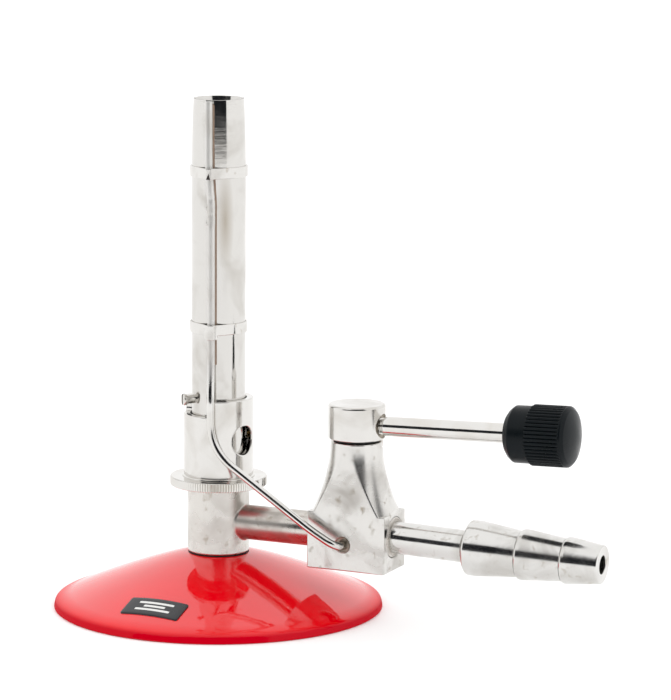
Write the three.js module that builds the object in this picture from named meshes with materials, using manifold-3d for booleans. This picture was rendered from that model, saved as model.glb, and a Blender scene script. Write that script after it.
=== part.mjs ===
// Laboratory bunsen burner with a side gas cock, a pilot tube and a rotating air regulator.
// Millimetres, +Z up. The origin is the centre of the base's underside, on the burner's axis.
// +X runs along the gas line, from the burner to the hose nozzle.

import * as THREE from 'three';
import { mergeVertices } from 'three/addons/utils/BufferGeometryUtils.js';
import Module from 'manifold-3d';

const wasm = await Module();
wasm.setup();

// ---- Driving dimensions -----------------------------------------------------------------

const GAP = 0.3;                 // clearance between neighbouring pieces

const BASE_RADIUS = 45;
const BASE_RIM_INNER = 39.5;     // inner radius of the ring that the base stands on
const BASE_RIM_EDGE = [[45, 0.3], [44.8, 1.1], [44.4, 1.8], [43.6, 2.5], [42.4, 3]]; // radius, height
const BASE_CREASE_RADIUS = 41;   // where the rim's rolled edge meets the dome
const BASE_CREASE_HEIGHT = 3.5;
const BASE_TOP = 15.1;           // flat seat under the hub
const BASE_WALL = 3.5;
const BASE_BOSS_RADIUS = 15;
const BASE_BOSS_FLOOR = 5.5;     // material left under the tapped hole
const DOME_POWER = 1.2;          // curvature of the dome between seat and crease

const LABEL = { length: 17.4, width: 7.2, thickness: 0.4, radius: 34.5, angle: -93.4 };

const HUB_RADIUS = 8.4;
const HUB_BOTTOM = 16.05;
const HUB_TOP = 33.6;
const HUB_SPIGOT_RADIUS = 5;
const CHAMBER_RADIUS = 2.9;
const JET_THREAD_RADIUS = 3.9;
const JET_SEAT = 30.6;
const JET_TIP = 43.5;
const JET_HEX_HEIGHT = 2;
const JET = { hexagon: 5.2, shoulder: 3, tip: 1.4, inlet: 2, hole: 0.5 }; // radii
const SPIGOT_TOP = 38.2;

const TUBE_BORE_RADIUS = 6.2;
const TUBE_RADIUS = 7.33;
const TUBE_TAPER_START = 121.4;
const MOUTH_RADIUS = 6.85;
const MOUTH_BORE_RADIUS = 6.05;
const MOUTH_HEIGHT = 139.4;

const REGULATOR_BOTTOM = HUB_TOP + GAP;
const RING_RADIUS = 13.2;
const RING_THICKNESS = 2.5;
const RING_TEETH = 112;
const RING_TOOTH_DEPTH = 0.35;
const SLEEVE_RADIUS = 9.5;
const SLEEVE_BORE_RADIUS = 7.65;
const SLEEVE_TOP = 58.1;
const NOTCH_FLOOR = 53.7;
const NOTCH_ANGLES = [-174, -78]; // degrees, both ends of the low part of the sleeve's top edge
const AIR_HOLE_RADIUS = 3.95;
const AIR_HOLE_HEIGHT = 47;
const TUBE_AIR_ANGLE = 31;
const SLEEVE_AIR_ANGLE = -16;
const STOP_SCREW_ANGLE = -130;
const STOP_SCREW_HEIGHT = 57.9;
const STOP_HEAD = { radius: 1.6, start: SLEEVE_RADIUS + 0.2, end: 10.7 };
const STOP_SHANK_RADIUS = 1.2;

const LINE_HEIGHT = 24;          // axis of the gas line
const PASSAGE_RADIUS = 2.5;
const ARM_RADIUS = 4.7;
const ARM_SOCKET_FLOOR = 6.3;    // distance of the hub socket's floor from the burner's axis
const THREAD_RADIUS = 3.6;       // turned-down ends of the arm and the stem

const VALVE_X = 41.15;
const BLOCK = { length: 22.6, width: 14.1, bottom: 14.9, top: 30.5, corner: 0.7, bevel: 0.4 };
const NECK_RADIUS = 7.05;
const NECK_TOP = 49.4;
const FLARE_GROWTH = 4.6;        // how far the flare has opened at the block's top
const FLARE_POWER = 2;
const PLUG_SEAT = 18.6;          // bottom of the tapered bore
const PLUG_BORE_BOTTOM_RADIUS = 4.5;
const PLUG_BORE_TOP_RADIUS = 5.2;
const RECESS_RADIUS = 5.4;       // for the washer, spring and screw under the plug
const PLUG_WASHER = { bore: 1.5, radius: 4.9, thickness: 0.6 };
const PLUG_SPRING = { bore: 1.6, radius: 4.4, bottom: 16.5, thickness: 0.4, dish: 0.45 };
const PLUG_SCREW = { bottom: 15.3, headTop: 16.1, top: 20.6, headRadius: 2.6, radius: 1.2 };
const PILOT_DRILLING_RADIUS = 0.7;
const DRIVE_SIZE = 5.2;          // square on the plug's top
const DRIVE_TOP = 57;

const CAP_RADIUS = 7.75;
const CAP_BOTTOM = 50.2;
const CAP_TOP = 59.5;
const STOP_PIN = { radius: 0.55, orbit: 6.5, angle: 20, bottom: 48, top: 52 };
const STOP_NOTCH = { floor: 47.4, from: 10, to: 120 };

const LEVER_HEIGHT = 53.9;
const LEVER_RISE = 1.7;          // degrees that the lever climbs away from the cap
const LEVER_RADIUS = 2.65;
const LEVER_SPIGOT_RADIUS = 2;
const LEVER_REACH = 35.8;        // from the cap's side to the knob
const KNOB = { radius: 7.6, ribRadius: 8.1, ribs: 48, ribStart: 7.2, ribEnd: 16.8 };
const KNOB_FRONT = [[3, 0], [5.9, 0.8], [7.6, 2.3]];             // radius, distance from its front
const KNOB_END = [[7.6, 16.9], [6.9, 17.9], [4.2, 18.9], [0, 19.2]];

const STEM_RADIUS = 4.35;
const NOZZLE_START = 74.3;
const NOZZLE_END = 111.7;
const NOZZLE_SOCKET_END = 81;
const NOZZLE_BORE_RADIUS = 2.45;
const NOZZLE_TIP_RADIUS = 4.9;
const OUTLET_DROOP = 1.65;       // degrees that the stem and the nozzle hang below the line
const BARB = { rise: 0.9, run: 0.8 }; // the step up at the start of each barb
const BARBS = [
  { step: NOZZLE_START, peak: 7.45, tail: 6.15, land: 2.6 },
  { step: 88.9, peak: 6.8, tail: 5.7, land: 1.4 },
  { step: 101.4, peak: 6.28, tail: 5.45, land: 1.2 },
];

const PILOT_RADIUS = 1.05;
const PILOT_BORE_RADIUS = 0.6;
const PILOT_HOLE_RADIUS = 2.1;
const PILOT_ON_TUBE = TUBE_RADIUS + GAP + PILOT_RADIUS;
const PILOT_ANGLE = -78;         // where the pilot tube runs up the burner tube
// Height and angle of the points where it leans sideways, from the mouth down.
const PILOT_LEAN = [[MOUTH_HEIGHT - 0.3, -84], [TUBE_TAPER_START, -82.5], [112, PILOT_ANGLE]];
const PILOT_PLANE = -10.8;       // the sloping run lies in this plane, beside the arm
const PILOT_LEAVES_TUBE = 68;    // height where it bends away from the burner tube
const PILOT_BENDS = [[2.8, 60], [2.9, 45.4], [32.6, 26.1]]; // x, z
const PILOT_CORNERS = [3, 3, 3, 3, 7.5, 3, 3.5]; // lengths over which its corners are rounded
const PILOT_PORT_X = VALVE_X - 0.9;
const PILOT_PORT_HEIGHT = 22;
const PILOT_PORT_DEPTH = 5.2;    // distance of the port's floor from the valve's axis

const STRAP_THICKNESS = 0.6;
const STRAP_HEIGHT = 2.95;
const CLIPS = {
  upper_clip: { height: 118.4, angle: -82 },
  lower_clip: { height: 76.1, angle: PILOT_ANGLE },
};

// ---- Shape helpers ----------------------------------------------------------------------

const radians = THREE.MathUtils.degToRad;

/** Joins equal vertices, drops empty triangles and turns the faces outwards. */
function weld(geometry) {
  const bare = geometry.clone();
  bare.deleteAttribute('normal');
  bare.deleteAttribute('uv');
  const merged = mergeVertices(bare, 1e-4);
  const index = merged.index.array;
  const position = merged.attributes.position;
  const corners = [new THREE.Vector3(), new THREE.Vector3(), new THREE.Vector3()];
  const kept = [];
  let volume = 0;
  for (let i = 0; i < index.length; i += 3) {
    const [a, b, c] = [index[i], index[i + 1], index[i + 2]];
    if (a === b || b === c || c === a) continue;
    kept.push(a, b, c);
    [a, b, c].forEach((vertex, k) => corners[k].fromBufferAttribute(position, vertex));
    volume += corners[0].dot(corners[1].cross(corners[2]));
  }
  if (volume < 0) {
    for (let i = 0; i < kept.length; i += 3) [kept[i], kept[i + 1]] = [kept[i + 1], kept[i]];
  }
  merged.setIndex(kept);
  return merged;
}

function toSolid(geometry) {
  const welded = weld(geometry);
  return new wasm.Manifold(new wasm.Mesh({
    numProp: 3,
    vertProperties: new Float32Array(welded.attributes.position.array),
    triVerts: new Uint32Array(welded.index.array),
  }));
}

function toGeometry(solid) {
  const mesh = solid.getMesh();
  const geometry = new THREE.BufferGeometry();
  geometry.setAttribute('position', new THREE.BufferAttribute(mesh.vertProperties, 3));
  geometry.setIndex(Array.from(mesh.triVerts));
  geometry.computeVertexNormals();
  return geometry;
}

/** Cuts the tools from a geometry. */
function cut(geometry, ...tools) {
  return toGeometry(tools.reduce((solid, tool) => solid.subtract(toSolid(tool)), toSolid(geometry)));
}

function join(...geometries) {
  return toGeometry(geometries.map(toSolid).reduce((whole, solid) => whole.add(solid)));
}

/** A body turned about +Z from [radius, height] points. */
function turned(profile, segments = 40) {
  const points = profile.map(([radius, height]) => new THREE.Vector2(radius, height));
  return weld(new THREE.LatheGeometry(points, segments).rotateX(Math.PI / 2));
}

/** A turned ring or pipe: its profile closes on itself. */
function turnedRing(profile, segments = 40) {
  return turned([...profile, profile[0]], segments);
}

/** A rod along +Z between two heights. */
function rod(radius, bottom, top, segments = 24) {
  const geometry = new THREE.CylinderGeometry(radius, radius, top - bottom, segments);
  return geometry.rotateX(Math.PI / 2).translate(0, 0, (bottom + top) / 2);
}

/** A rod along +X between two stations, at the height of the gas line. */
function lineRod(radius, start, end, segments = 24) {
  return rod(radius, start, end, segments).rotateY(Math.PI / 2).translate(0, 0, LINE_HEIGHT);
}

/** A rod through the burner's axis at an angle and height, between two distances from the axis. */
function radialRod(radius, near, far, angle, height, segments = 24) {
  return rod(radius, near, far, segments).rotateY(Math.PI / 2)
    .rotateZ(radians(angle)).translate(0, 0, height);
}

/** A sector of a thick ring, used to cut notches. */
function sector(inner, outer, from, to, bottom, top) {
  const shape = new THREE.Shape();
  shape.absarc(0, 0, outer, radians(from), radians(to), false);
  shape.absarc(0, 0, inner, radians(to), radians(from), true);
  const geometry = new THREE.ExtrudeGeometry(shape, {
    depth: top - bottom, bevelEnabled: false, curveSegments: 12,
  });
  return geometry.translate(0, 0, bottom);
}

/** An outline of straight teeth between two radii. */
function toothedShape(outer, depth, teeth) {
  const points = [];
  for (let i = 0; i < 2 * teeth; i += 1) {
    const radius = i % 2 ? outer - depth : outer;
    const angle = (i * Math.PI) / teeth;
    points.push(new THREE.Vector2(radius * Math.cos(angle), radius * Math.sin(angle)));
  }
  return new THREE.Shape(points);
}

function circlePath(radius) {
  return new THREE.Path().absarc(0, 0, radius, 0, 2 * Math.PI, true);
}

/** A path of straight runs, with each corner rounded over the given length on both sides. */
function roundedRoute(points, cornerLengths) {
  const path = new THREE.CurvePath();
  let from = points[0];
  for (let i = 1; i < points.length - 1; i += 1) {
    const corner = points[i];
    const length = cornerLengths[i - 1];
    const entry = corner.clone().add(points[i - 1].clone().sub(corner).setLength(length));
    const exit = corner.clone().add(points[i + 1].clone().sub(corner).setLength(length));
    path.add(new THREE.LineCurve3(from, entry));
    path.add(new THREE.QuadraticBezierCurve3(entry, corner, exit));
    from = exit;
  }
  path.add(new THREE.LineCurve3(from, points[points.length - 1]));
  return path;
}

// ---- Materials --------------------------------------------------------------------------

const finishes = {
  nickel: { color: 0xd9d6cf, roughness: 0.18, metalness: 1 },
  redEnamel: { color: 0xc4040f, roughness: 0.2, metalness: 0 },
  blackPlastic: { color: 0x14181b, roughness: 0.45, metalness: 0 },
  blackPlate: { color: 0x17191b, roughness: 0.5, metalness: 0 },
  brass: { color: 0xc49a4a, roughness: 0.3, metalness: 1 },
  rubber: { color: 0x101112, roughness: 0.8, metalness: 0 },
  fibre: { color: 0x8a2f23, roughness: 0.8, metalness: 0 },
  springSteel: { color: 0x8f9296, roughness: 0.3, metalness: 1 },
};

const burner = new THREE.Group();
burner.name = 'bunsen_burner';

/** Adds one named piece to a parent, the burner itself by default. */
function addPiece(name, geometry, finish, parent = burner) {
  const mesh = new THREE.Mesh(geometry, new THREE.MeshStandardMaterial(finishes[finish]));
  mesh.name = name;
  parent.add(mesh);
  return mesh;
}

// ---- Base -------------------------------------------------------------------------------

/** Height of the dome's upper surface at a distance from the axis. */
function domeHeight(radius) {
  const share = (radius - HUB_RADIUS) / (BASE_CREASE_RADIUS - HUB_RADIUS);
  return BASE_TOP - (BASE_TOP - BASE_CREASE_HEIGHT) * Math.max(share, 0) ** DOME_POWER;
}

/** Points up the dome from an outer to an inner radius, raised by an offset. */
function domePoints(outer, inner, offset, steps = 6) {
  return Array.from({ length: steps + 1 }, (_, i) => {
    const radius = outer + ((inner - outer) * i) / steps;
    return [radius, domeHeight(radius) + offset];
  });
}

function baseGeometry() {
  const hole = HUB_SPIGOT_RADIUS + GAP;
  return turned([
    [0, 0],
    [BASE_BOSS_RADIUS, 0],
    [BASE_BOSS_RADIUS, domeHeight(BASE_BOSS_RADIUS) - BASE_WALL],
    ...domePoints(BASE_BOSS_RADIUS + 2, BASE_RIM_INNER - 1, -BASE_WALL, 4),
    [BASE_RIM_INNER, 0],
    [BASE_RADIUS - 0.4, 0],
    ...BASE_RIM_EDGE,
    ...domePoints(BASE_CREASE_RADIUS, HUB_RADIUS, 0),
    [hole, BASE_TOP],
    [hole, BASE_BOSS_FLOOR],
    [0, BASE_BOSS_FLOOR],
  ], 40);
}

/** A thin plate that follows the dome: a shell of the dome, trimmed to a rectangle. */
function labelGeometry() {
  const inner = LABEL.radius - LABEL.width;
  const outer = LABEL.radius + LABEL.width;
  const shell = turnedRing([
    ...domePoints(outer, inner, GAP),
    ...domePoints(inner, outer, GAP + LABEL.thickness),
  ], 40);
  const slope = Math.atan2(domeHeight(LABEL.radius - 1) - domeHeight(LABEL.radius + 1), 2);
  const trim = new THREE.BoxGeometry(LABEL.width, LABEL.length, 8).rotateY(slope)
    .translate(LABEL.radius, 0, domeHeight(LABEL.radius)).rotateZ(radians(LABEL.angle));
  return toGeometry(toSolid(shell).intersect(toSolid(trim)));
}

addPiece('base', baseGeometry(), 'redEnamel');
addPiece('label_plate', labelGeometry(), 'blackPlate');

// ---- Hub, gasket and jet ----------------------------------------------------------------

const UPPER_SPIGOT_RADIUS = TUBE_BORE_RADIUS - GAP;

function hubGeometry() {
  const body = turned([
    [0, BASE_BOSS_FLOOR + 0.5],
    [HUB_SPIGOT_RADIUS, BASE_BOSS_FLOOR + 0.5],
    [HUB_SPIGOT_RADIUS, HUB_BOTTOM],
    [HUB_RADIUS - 1.2, HUB_BOTTOM],
    [HUB_RADIUS - 0.4, HUB_BOTTOM + 0.35],
    [HUB_RADIUS, HUB_BOTTOM + 1.2],
    [HUB_RADIUS, HUB_TOP],
    [UPPER_SPIGOT_RADIUS, HUB_TOP],
    [UPPER_SPIGOT_RADIUS, SPIGOT_TOP],
    [JET_THREAD_RADIUS + GAP, SPIGOT_TOP],
    [JET_THREAD_RADIUS + GAP, JET_SEAT],
    [CHAMBER_RADIUS, JET_SEAT],
    [CHAMBER_RADIUS, LINE_HEIGHT - PASSAGE_RADIUS - 0.5],
    [0, LINE_HEIGHT - PASSAGE_RADIUS - 0.5],
  ], 28);
  return cut(
    body,
    lineRod(ARM_RADIUS + GAP, ARM_SOCKET_FLOOR, HUB_RADIUS + 2, 32),
    lineRod(PASSAGE_RADIUS, 0, ARM_SOCKET_FLOOR + 1, 16),
  );
}

function gasketGeometry() {
  const [bottom, top] = [BASE_TOP + GAP, HUB_BOTTOM - GAP];
  return turnedRing([
    [HUB_SPIGOT_RADIUS + GAP, bottom], [HUB_RADIUS, bottom],
    [HUB_RADIUS, top], [HUB_SPIGOT_RADIUS + GAP, top],
  ], 32);
}

function jetWasherGeometry() {
  const [bottom, top] = [JET_SEAT + GAP, JET_SEAT + 2 * GAP + 0.2];
  return turnedRing([
    [CHAMBER_RADIUS - 0.6, bottom], [JET_THREAD_RADIUS, bottom],
    [JET_THREAD_RADIUS, top], [CHAMBER_RADIUS - 0.6, top],
  ], 20);
}

/** Threaded shank, hexagon, nose cone and a stepped bore that narrows to the jet hole. */
function jetGeometry() {
  const bottom = JET_SEAT + 3 * GAP + 0.2;
  const hexBottom = SPIGOT_TOP + GAP;
  const shank = turned([
    [0, bottom], [JET_THREAD_RADIUS, bottom], [JET_THREAD_RADIUS, hexBottom + 0.5],
    [JET.shoulder, hexBottom + JET_HEX_HEIGHT], [JET.shoulder, hexBottom + JET_HEX_HEIGHT + 0.4],
    [JET.tip, JET_TIP], [0, JET_TIP],
  ], 20);
  const hexagon = rod(JET.hexagon, hexBottom, hexBottom + JET_HEX_HEIGHT, 6);
  const bore = turned([
    [0, bottom - 1], [JET.inlet, bottom - 1], [JET.inlet, hexBottom], [JET.hole, hexBottom + 1.5],
    [JET.hole, JET_TIP + 1], [0, JET_TIP + 1],
  ], 12);
  return toGeometry(toSolid(shank).add(toSolid(hexagon)).subtract(toSolid(bore)));
}

addPiece('hub', hubGeometry(), 'nickel');
addPiece('hub_gasket', gasketGeometry(), 'rubber');
addPiece('jet_washer', jetWasherGeometry(), 'fibre');
addPiece('gas_jet', jetGeometry(), 'brass');

// ---- Burner tube and air regulator ------------------------------------------------------

function tubeGeometry() {
  const wall = turnedRing([
    [TUBE_BORE_RADIUS, REGULATOR_BOTTOM],
    [TUBE_RADIUS, REGULATOR_BOTTOM],
    [TUBE_RADIUS, TUBE_TAPER_START],
    [MOUTH_RADIUS, MOUTH_HEIGHT],
    [MOUTH_BORE_RADIUS, MOUTH_HEIGHT],
    [TUBE_BORE_RADIUS, TUBE_TAPER_START],
  ], 32);
  return cut(
    wall,
    radialRod(AIR_HOLE_RADIUS, -TUBE_RADIUS - 1, TUBE_RADIUS + 1, TUBE_AIR_ANGLE, AIR_HOLE_HEIGHT),
    radialRod(STOP_SHANK_RADIUS + GAP, TUBE_BORE_RADIUS - 1, TUBE_RADIUS + 1,
      STOP_SCREW_ANGLE, STOP_SCREW_HEIGHT, 16),
  );
}

function sleeveGeometry() {
  const bottom = REGULATOR_BOTTOM + RING_THICKNESS + GAP;
  const wall = turnedRing([
    [SLEEVE_BORE_RADIUS, bottom],
    [SLEEVE_RADIUS - 0.2, bottom],
    [SLEEVE_RADIUS, bottom + 0.3],
    [SLEEVE_RADIUS, SLEEVE_TOP - 0.3],
    [SLEEVE_RADIUS - 0.2, SLEEVE_TOP],
    [SLEEVE_BORE_RADIUS, SLEEVE_TOP],
  ], 36);
  return cut(
    wall,
    sector(SLEEVE_BORE_RADIUS - 1, SLEEVE_RADIUS + 1, ...NOTCH_ANGLES, NOTCH_FLOOR, SLEEVE_TOP + 1),
    radialRod(AIR_HOLE_RADIUS, -SLEEVE_RADIUS - 1, SLEEVE_RADIUS + 1, SLEEVE_AIR_ANGLE, AIR_HOLE_HEIGHT),
  );
}

function ringGeometry() {
  const shape = toothedShape(RING_RADIUS, RING_TOOTH_DEPTH, RING_TEETH);
  shape.holes.push(circlePath(SLEEVE_BORE_RADIUS));
  const geometry = new THREE.ExtrudeGeometry(shape, {
    depth: RING_THICKNESS, bevelEnabled: false, curveSegments: 16,
  });
  return weld(geometry.translate(0, 0, REGULATOR_BOTTOM));
}

/** The screw lies along +X before it is turned to its place. */
function stopScrewGeometry() {
  const { radius, start, end } = STOP_HEAD;
  const screw = turned([
    [0, TUBE_BORE_RADIUS + 0.3], [STOP_SHANK_RADIUS, TUBE_BORE_RADIUS + 0.3], [STOP_SHANK_RADIUS, start],
    [radius, start], [radius, end - 0.2], [radius - 0.2, end], [0, end],
  ], 20);
  const slot = new THREE.BoxGeometry(4, 0.5, 1).translate(0, 0, end);
  return toGeometry(toSolid(screw).subtract(toSolid(slot))).rotateY(Math.PI / 2);
}

addPiece('burner_tube', tubeGeometry(), 'nickel');
addPiece('air_sleeve', sleeveGeometry(), 'nickel');
addPiece('knurled_ring', ringGeometry(), 'nickel');
const stopScrew = addPiece('stop_screw', stopScrewGeometry(), 'nickel');
stopScrew.rotation.z = radians(STOP_SCREW_ANGLE);
stopScrew.position.z = STOP_SCREW_HEIGHT;

// ---- Gas line: pieces turned about the line's own axis ----------------------------------

const gasLine = new THREE.Group();
gasLine.position.z = LINE_HEIGHT;
gasLine.rotation.y = Math.PI / 2;
burner.add(gasLine);

const BLOCK_START = VALVE_X - BLOCK.length / 2;
const BLOCK_END = VALVE_X + BLOCK.length / 2;
const SOCKET_DEPTH = 4;
const SEAL_RADIUS = 5.3;
const SEAL_POCKET_DEPTH = 0.9;

function armGeometry() {
  const shoulder = BLOCK_START - GAP;
  return turnedRing([
    [PASSAGE_RADIUS, ARM_SOCKET_FLOOR + GAP],
    [ARM_RADIUS, ARM_SOCKET_FLOOR + GAP],
    [ARM_RADIUS, shoulder],
    [THREAD_RADIUS, shoulder],
    [THREAD_RADIUS, BLOCK_START + SOCKET_DEPTH - GAP],
    [PASSAGE_RADIUS, BLOCK_START + SOCKET_DEPTH - GAP],
  ], 24);
}

function stemGeometry() {
  const shoulder = BLOCK_END - SEAL_POCKET_DEPTH + GAP;
  return turnedRing([
    [PASSAGE_RADIUS, BLOCK_END - SOCKET_DEPTH + GAP],
    [THREAD_RADIUS, BLOCK_END - SOCKET_DEPTH + GAP],
    [THREAD_RADIUS, shoulder],
    [STEM_RADIUS, shoulder],
    [STEM_RADIUS, NOZZLE_SOCKET_END - GAP],
    [PASSAGE_RADIUS, NOZZLE_SOCKET_END - GAP],
  ], 24);
}

function sealGeometry() {
  const [near, far] = [BLOCK_END - SEAL_POCKET_DEPTH + GAP, BLOCK_END];
  return turnedRing([
    [STEM_RADIUS + GAP, near], [SEAL_RADIUS, near], [SEAL_RADIUS, far], [STEM_RADIUS + GAP, far],
  ], 24);
}

/** Three barbs, each a step up followed by a taper towards the tip. */
function nozzleGeometry() {
  const ends = [BARBS[1].step, BARBS[2].step, NOZZLE_END - 1];
  const outline = BARBS.flatMap(({ step, peak, tail, land }, i) => [
    [peak - BARB.rise, step], [peak, step + BARB.run], [peak, step + land], [tail, ends[i]],
  ]);
  return turnedRing([
    ...outline,
    [NOZZLE_TIP_RADIUS, NOZZLE_END],
    [NOZZLE_BORE_RADIUS, NOZZLE_END],
    [NOZZLE_BORE_RADIUS, NOZZLE_SOCKET_END],
    [STEM_RADIUS + GAP, NOZZLE_SOCKET_END],
    [STEM_RADIUS + GAP, NOZZLE_START],
  ], 24);
}

// The stem, its seal and the nozzle hang a little from the block's end face.
const outlet = new THREE.Group();
outlet.position.z = BLOCK_END;
outlet.rotation.y = radians(OUTLET_DROOP);
gasLine.add(outlet);

addPiece('side_arm', armGeometry(), 'nickel', gasLine);
addPiece('inlet_stem', stemGeometry().translate(0, 0, -BLOCK_END), 'nickel', outlet);
addPiece('stem_seal', sealGeometry().translate(0, 0, -BLOCK_END), 'nickel', outlet);
addPiece('hose_nozzle', nozzleGeometry().translate(0, 0, -BLOCK_END), 'nickel', outlet);

// ---- Valve body and plug, upright on the valve's own axis -------------------------------

const valve = new THREE.Group();
valve.position.x = VALVE_X;
burner.add(valve);

function blockShape() {
  const { length, width, corner } = BLOCK;
  const [x, y] = [length / 2 - corner, width / 2 - corner];
  const shape = new THREE.Shape();
  shape.absarc(x, y, corner, 0, Math.PI / 2, false);
  shape.absarc(-x, y, corner, Math.PI / 2, Math.PI, false);
  shape.absarc(-x, -y, corner, Math.PI, 1.5 * Math.PI, false);
  shape.absarc(x, -y, corner, 1.5 * Math.PI, 2 * Math.PI, false);
  return shape;
}

/** Radius of the tapered bore at a height. */
function plugBoreRadius(height) {
  const share = (height - PLUG_SEAT) / (NECK_TOP - PLUG_SEAT);
  return PLUG_BORE_BOTTOM_RADIUS + (PLUG_BORE_TOP_RADIUS - PLUG_BORE_BOTTOM_RADIUS) * share;
}

function flareProfile() {
  const steps = 6;
  const reach = Math.hypot(BLOCK.length, BLOCK.width) / 2;
  const flare = Array.from({ length: steps + 1 }, (_, i) => {
    const share = 1 - i / steps;
    return [NECK_RADIUS + FLARE_GROWTH * share ** FLARE_POWER, NECK_TOP - (NECK_TOP - BLOCK.top) * share];
  });
  const foot = BLOCK.top - 0.6;
  return [[0, foot - 1], [reach, foot - 1], [reach, foot], ...flare, [0, NECK_TOP]];
}

/** Tilts a tool on the outlet side of the block, like the stem that it makes room for. */
function drooping(tool) {
  const pivot = BLOCK.length / 2;
  return tool.translate(-pivot, 0, -LINE_HEIGHT)
    .rotateY(radians(OUTLET_DROOP)).translate(pivot, 0, LINE_HEIGHT);
}

function valveBodyGeometry() {
  const { bottom, top, bevel } = BLOCK;
  const outline = blockShape();
  const block = new THREE.ExtrudeGeometry(outline, {
    depth: top - bottom - 2 * bevel,
    bevelThickness: bevel,
    bevelSize: bevel,
    bevelOffset: -bevel,
    bevelSegments: 1,
    curveSegments: 2,
  }).translate(0, 0, bottom + bevel);
  const column = new THREE.ExtrudeGeometry(outline, {
    depth: NECK_TOP, bevelEnabled: false, curveSegments: 2,
  });
  const prism = toSolid(column.translate(0, 0, bottom + bevel));
  const flared = toSolid(turned(flareProfile(), 32)).intersect(prism);
  const seat = turned([
    [0, bottom - 1], [RECESS_RADIUS, bottom - 1], [RECESS_RADIUS, PLUG_SEAT],
    [plugBoreRadius(PLUG_SEAT), PLUG_SEAT], [plugBoreRadius(NECK_TOP + 1), NECK_TOP + 1], [0, NECK_TOP + 1],
  ], 24);
  const lineCuts = [
    lineRod(PASSAGE_RADIUS, -BLOCK.length, BLOCK.length, 16),
    lineRod(THREAD_RADIUS + GAP, -BLOCK.length, SOCKET_DEPTH - BLOCK.length / 2),
    drooping(lineRod(THREAD_RADIUS + GAP, BLOCK.length / 2 - SOCKET_DEPTH, BLOCK.length)),
    drooping(lineRod(SEAL_RADIUS + GAP, BLOCK.length / 2 - SEAL_POCKET_DEPTH, BLOCK.length)),
  ];
  const pilotPort = [
    radialRod(PILOT_HOLE_RADIUS, PILOT_PORT_DEPTH, BLOCK.width, -90, PILOT_PORT_HEIGHT, 20),
    radialRod(PILOT_DRILLING_RADIUS, 0, BLOCK.width, -90, PILOT_PORT_HEIGHT, 8),
  ].map((tool) => tool.translate(PILOT_PORT_X - VALVE_X, 0, 0));
  const stopNotch = sector(PLUG_BORE_TOP_RADIUS - 1, NECK_RADIUS + 1,
    STOP_NOTCH.from, STOP_NOTCH.to, STOP_NOTCH.floor, NECK_TOP + 1);
  const whole = toSolid(block).add(flared);
  const cuts = [seat, ...lineCuts, ...pilotPort, stopNotch];
  return toGeometry(cuts.reduce((solid, tool) => solid.subtract(toSolid(tool)), whole));
}

function plugGeometry() {
  const bottom = PLUG_SEAT + GAP;
  const top = NECK_TOP + GAP;
  const cone = turned([
    [0, bottom], [plugBoreRadius(bottom) - GAP, bottom], [plugBoreRadius(top) - GAP, top], [0, top],
  ], 24);
  const drive = new THREE.BoxGeometry(DRIVE_SIZE, DRIVE_SIZE, DRIVE_TOP - top + 1)
    .translate(0, 0, (DRIVE_TOP + top - 1) / 2);
  const gasWay = lineRod(PASSAGE_RADIUS, -RECESS_RADIUS, RECESS_RADIUS, 16);
  const screwHole = rod(PLUG_SCREW.radius + GAP, bottom - 1, PLUG_SCREW.top + GAP, 12);
  return cut(join(cone, drive), gasWay, screwHole);
}

function plugWasherGeometry() {
  const { bore, radius, thickness } = PLUG_WASHER;
  const top = PLUG_SEAT - GAP;
  const bottom = top - thickness;
  return turnedRing([[bore, bottom], [radius, bottom], [radius, top], [bore, top]], 16);
}

/** A dished spring washer, its high edge inside. */
function plugSpringGeometry() {
  const { bore, radius, bottom, thickness, dish } = PLUG_SPRING;
  return turnedRing([
    [bore, bottom + dish], [radius, bottom], [radius, bottom + thickness], [bore, bottom + dish + thickness],
  ], 24);
}

function plugScrewGeometry() {
  const { bottom, headTop, top, headRadius, radius } = PLUG_SCREW;
  const screw = turned([
    [0, bottom], [headRadius - 0.2, bottom], [headRadius, bottom + 0.2], [headRadius, headTop],
    [radius, headTop], [radius, top], [0, top],
  ], 16);
  return cut(screw, new THREE.BoxGeometry(3 * headRadius, 0.6, 0.8).translate(0, 0, bottom));
}

addPiece('valve_body', valveBodyGeometry(), 'nickel', valve);

// ---- Gas cock: cap, stop pin, lever and knob, which turn with the plug ------------------

const cock = new THREE.Group();
valve.add(cock);

const lever = new THREE.Group();
lever.position.set(CAP_RADIUS, 0, LEVER_HEIGHT);
lever.rotation.y = Math.PI / 2 - radians(LEVER_RISE);
cock.add(lever);

const LEVER_SPIGOT_LENGTH = 3;
const LEVER_TENON_LENGTH = 13;

function capGeometry() {
  const body = turned([
    [0, CAP_BOTTOM], [CAP_RADIUS - 0.3, CAP_BOTTOM], [CAP_RADIUS, CAP_BOTTOM + 0.3],
    [CAP_RADIUS, CAP_TOP - 0.6], [CAP_RADIUS - 0.6, CAP_TOP], [0, CAP_TOP],
  ], 32);
  const socketSize = DRIVE_SIZE + 2 * GAP;
  const socket = new THREE.BoxGeometry(socketSize, socketSize, 10)
    .translate(0, 0, DRIVE_TOP + GAP - 5);
  const leverHole = rod(LEVER_SPIGOT_RADIUS + GAP, -LEVER_SPIGOT_LENGTH - 0.5, 3)
    .rotateY(lever.rotation.y).translate(CAP_RADIUS, 0, LEVER_HEIGHT);
  const pinHole = rod(STOP_PIN.radius + GAP, CAP_BOTTOM - 1, STOP_PIN.top + GAP, 12)
    .translate(STOP_PIN.orbit, 0, 0).rotateZ(radians(STOP_PIN.angle));
  return cut(body, socket, leverHole, pinHole);
}

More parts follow.
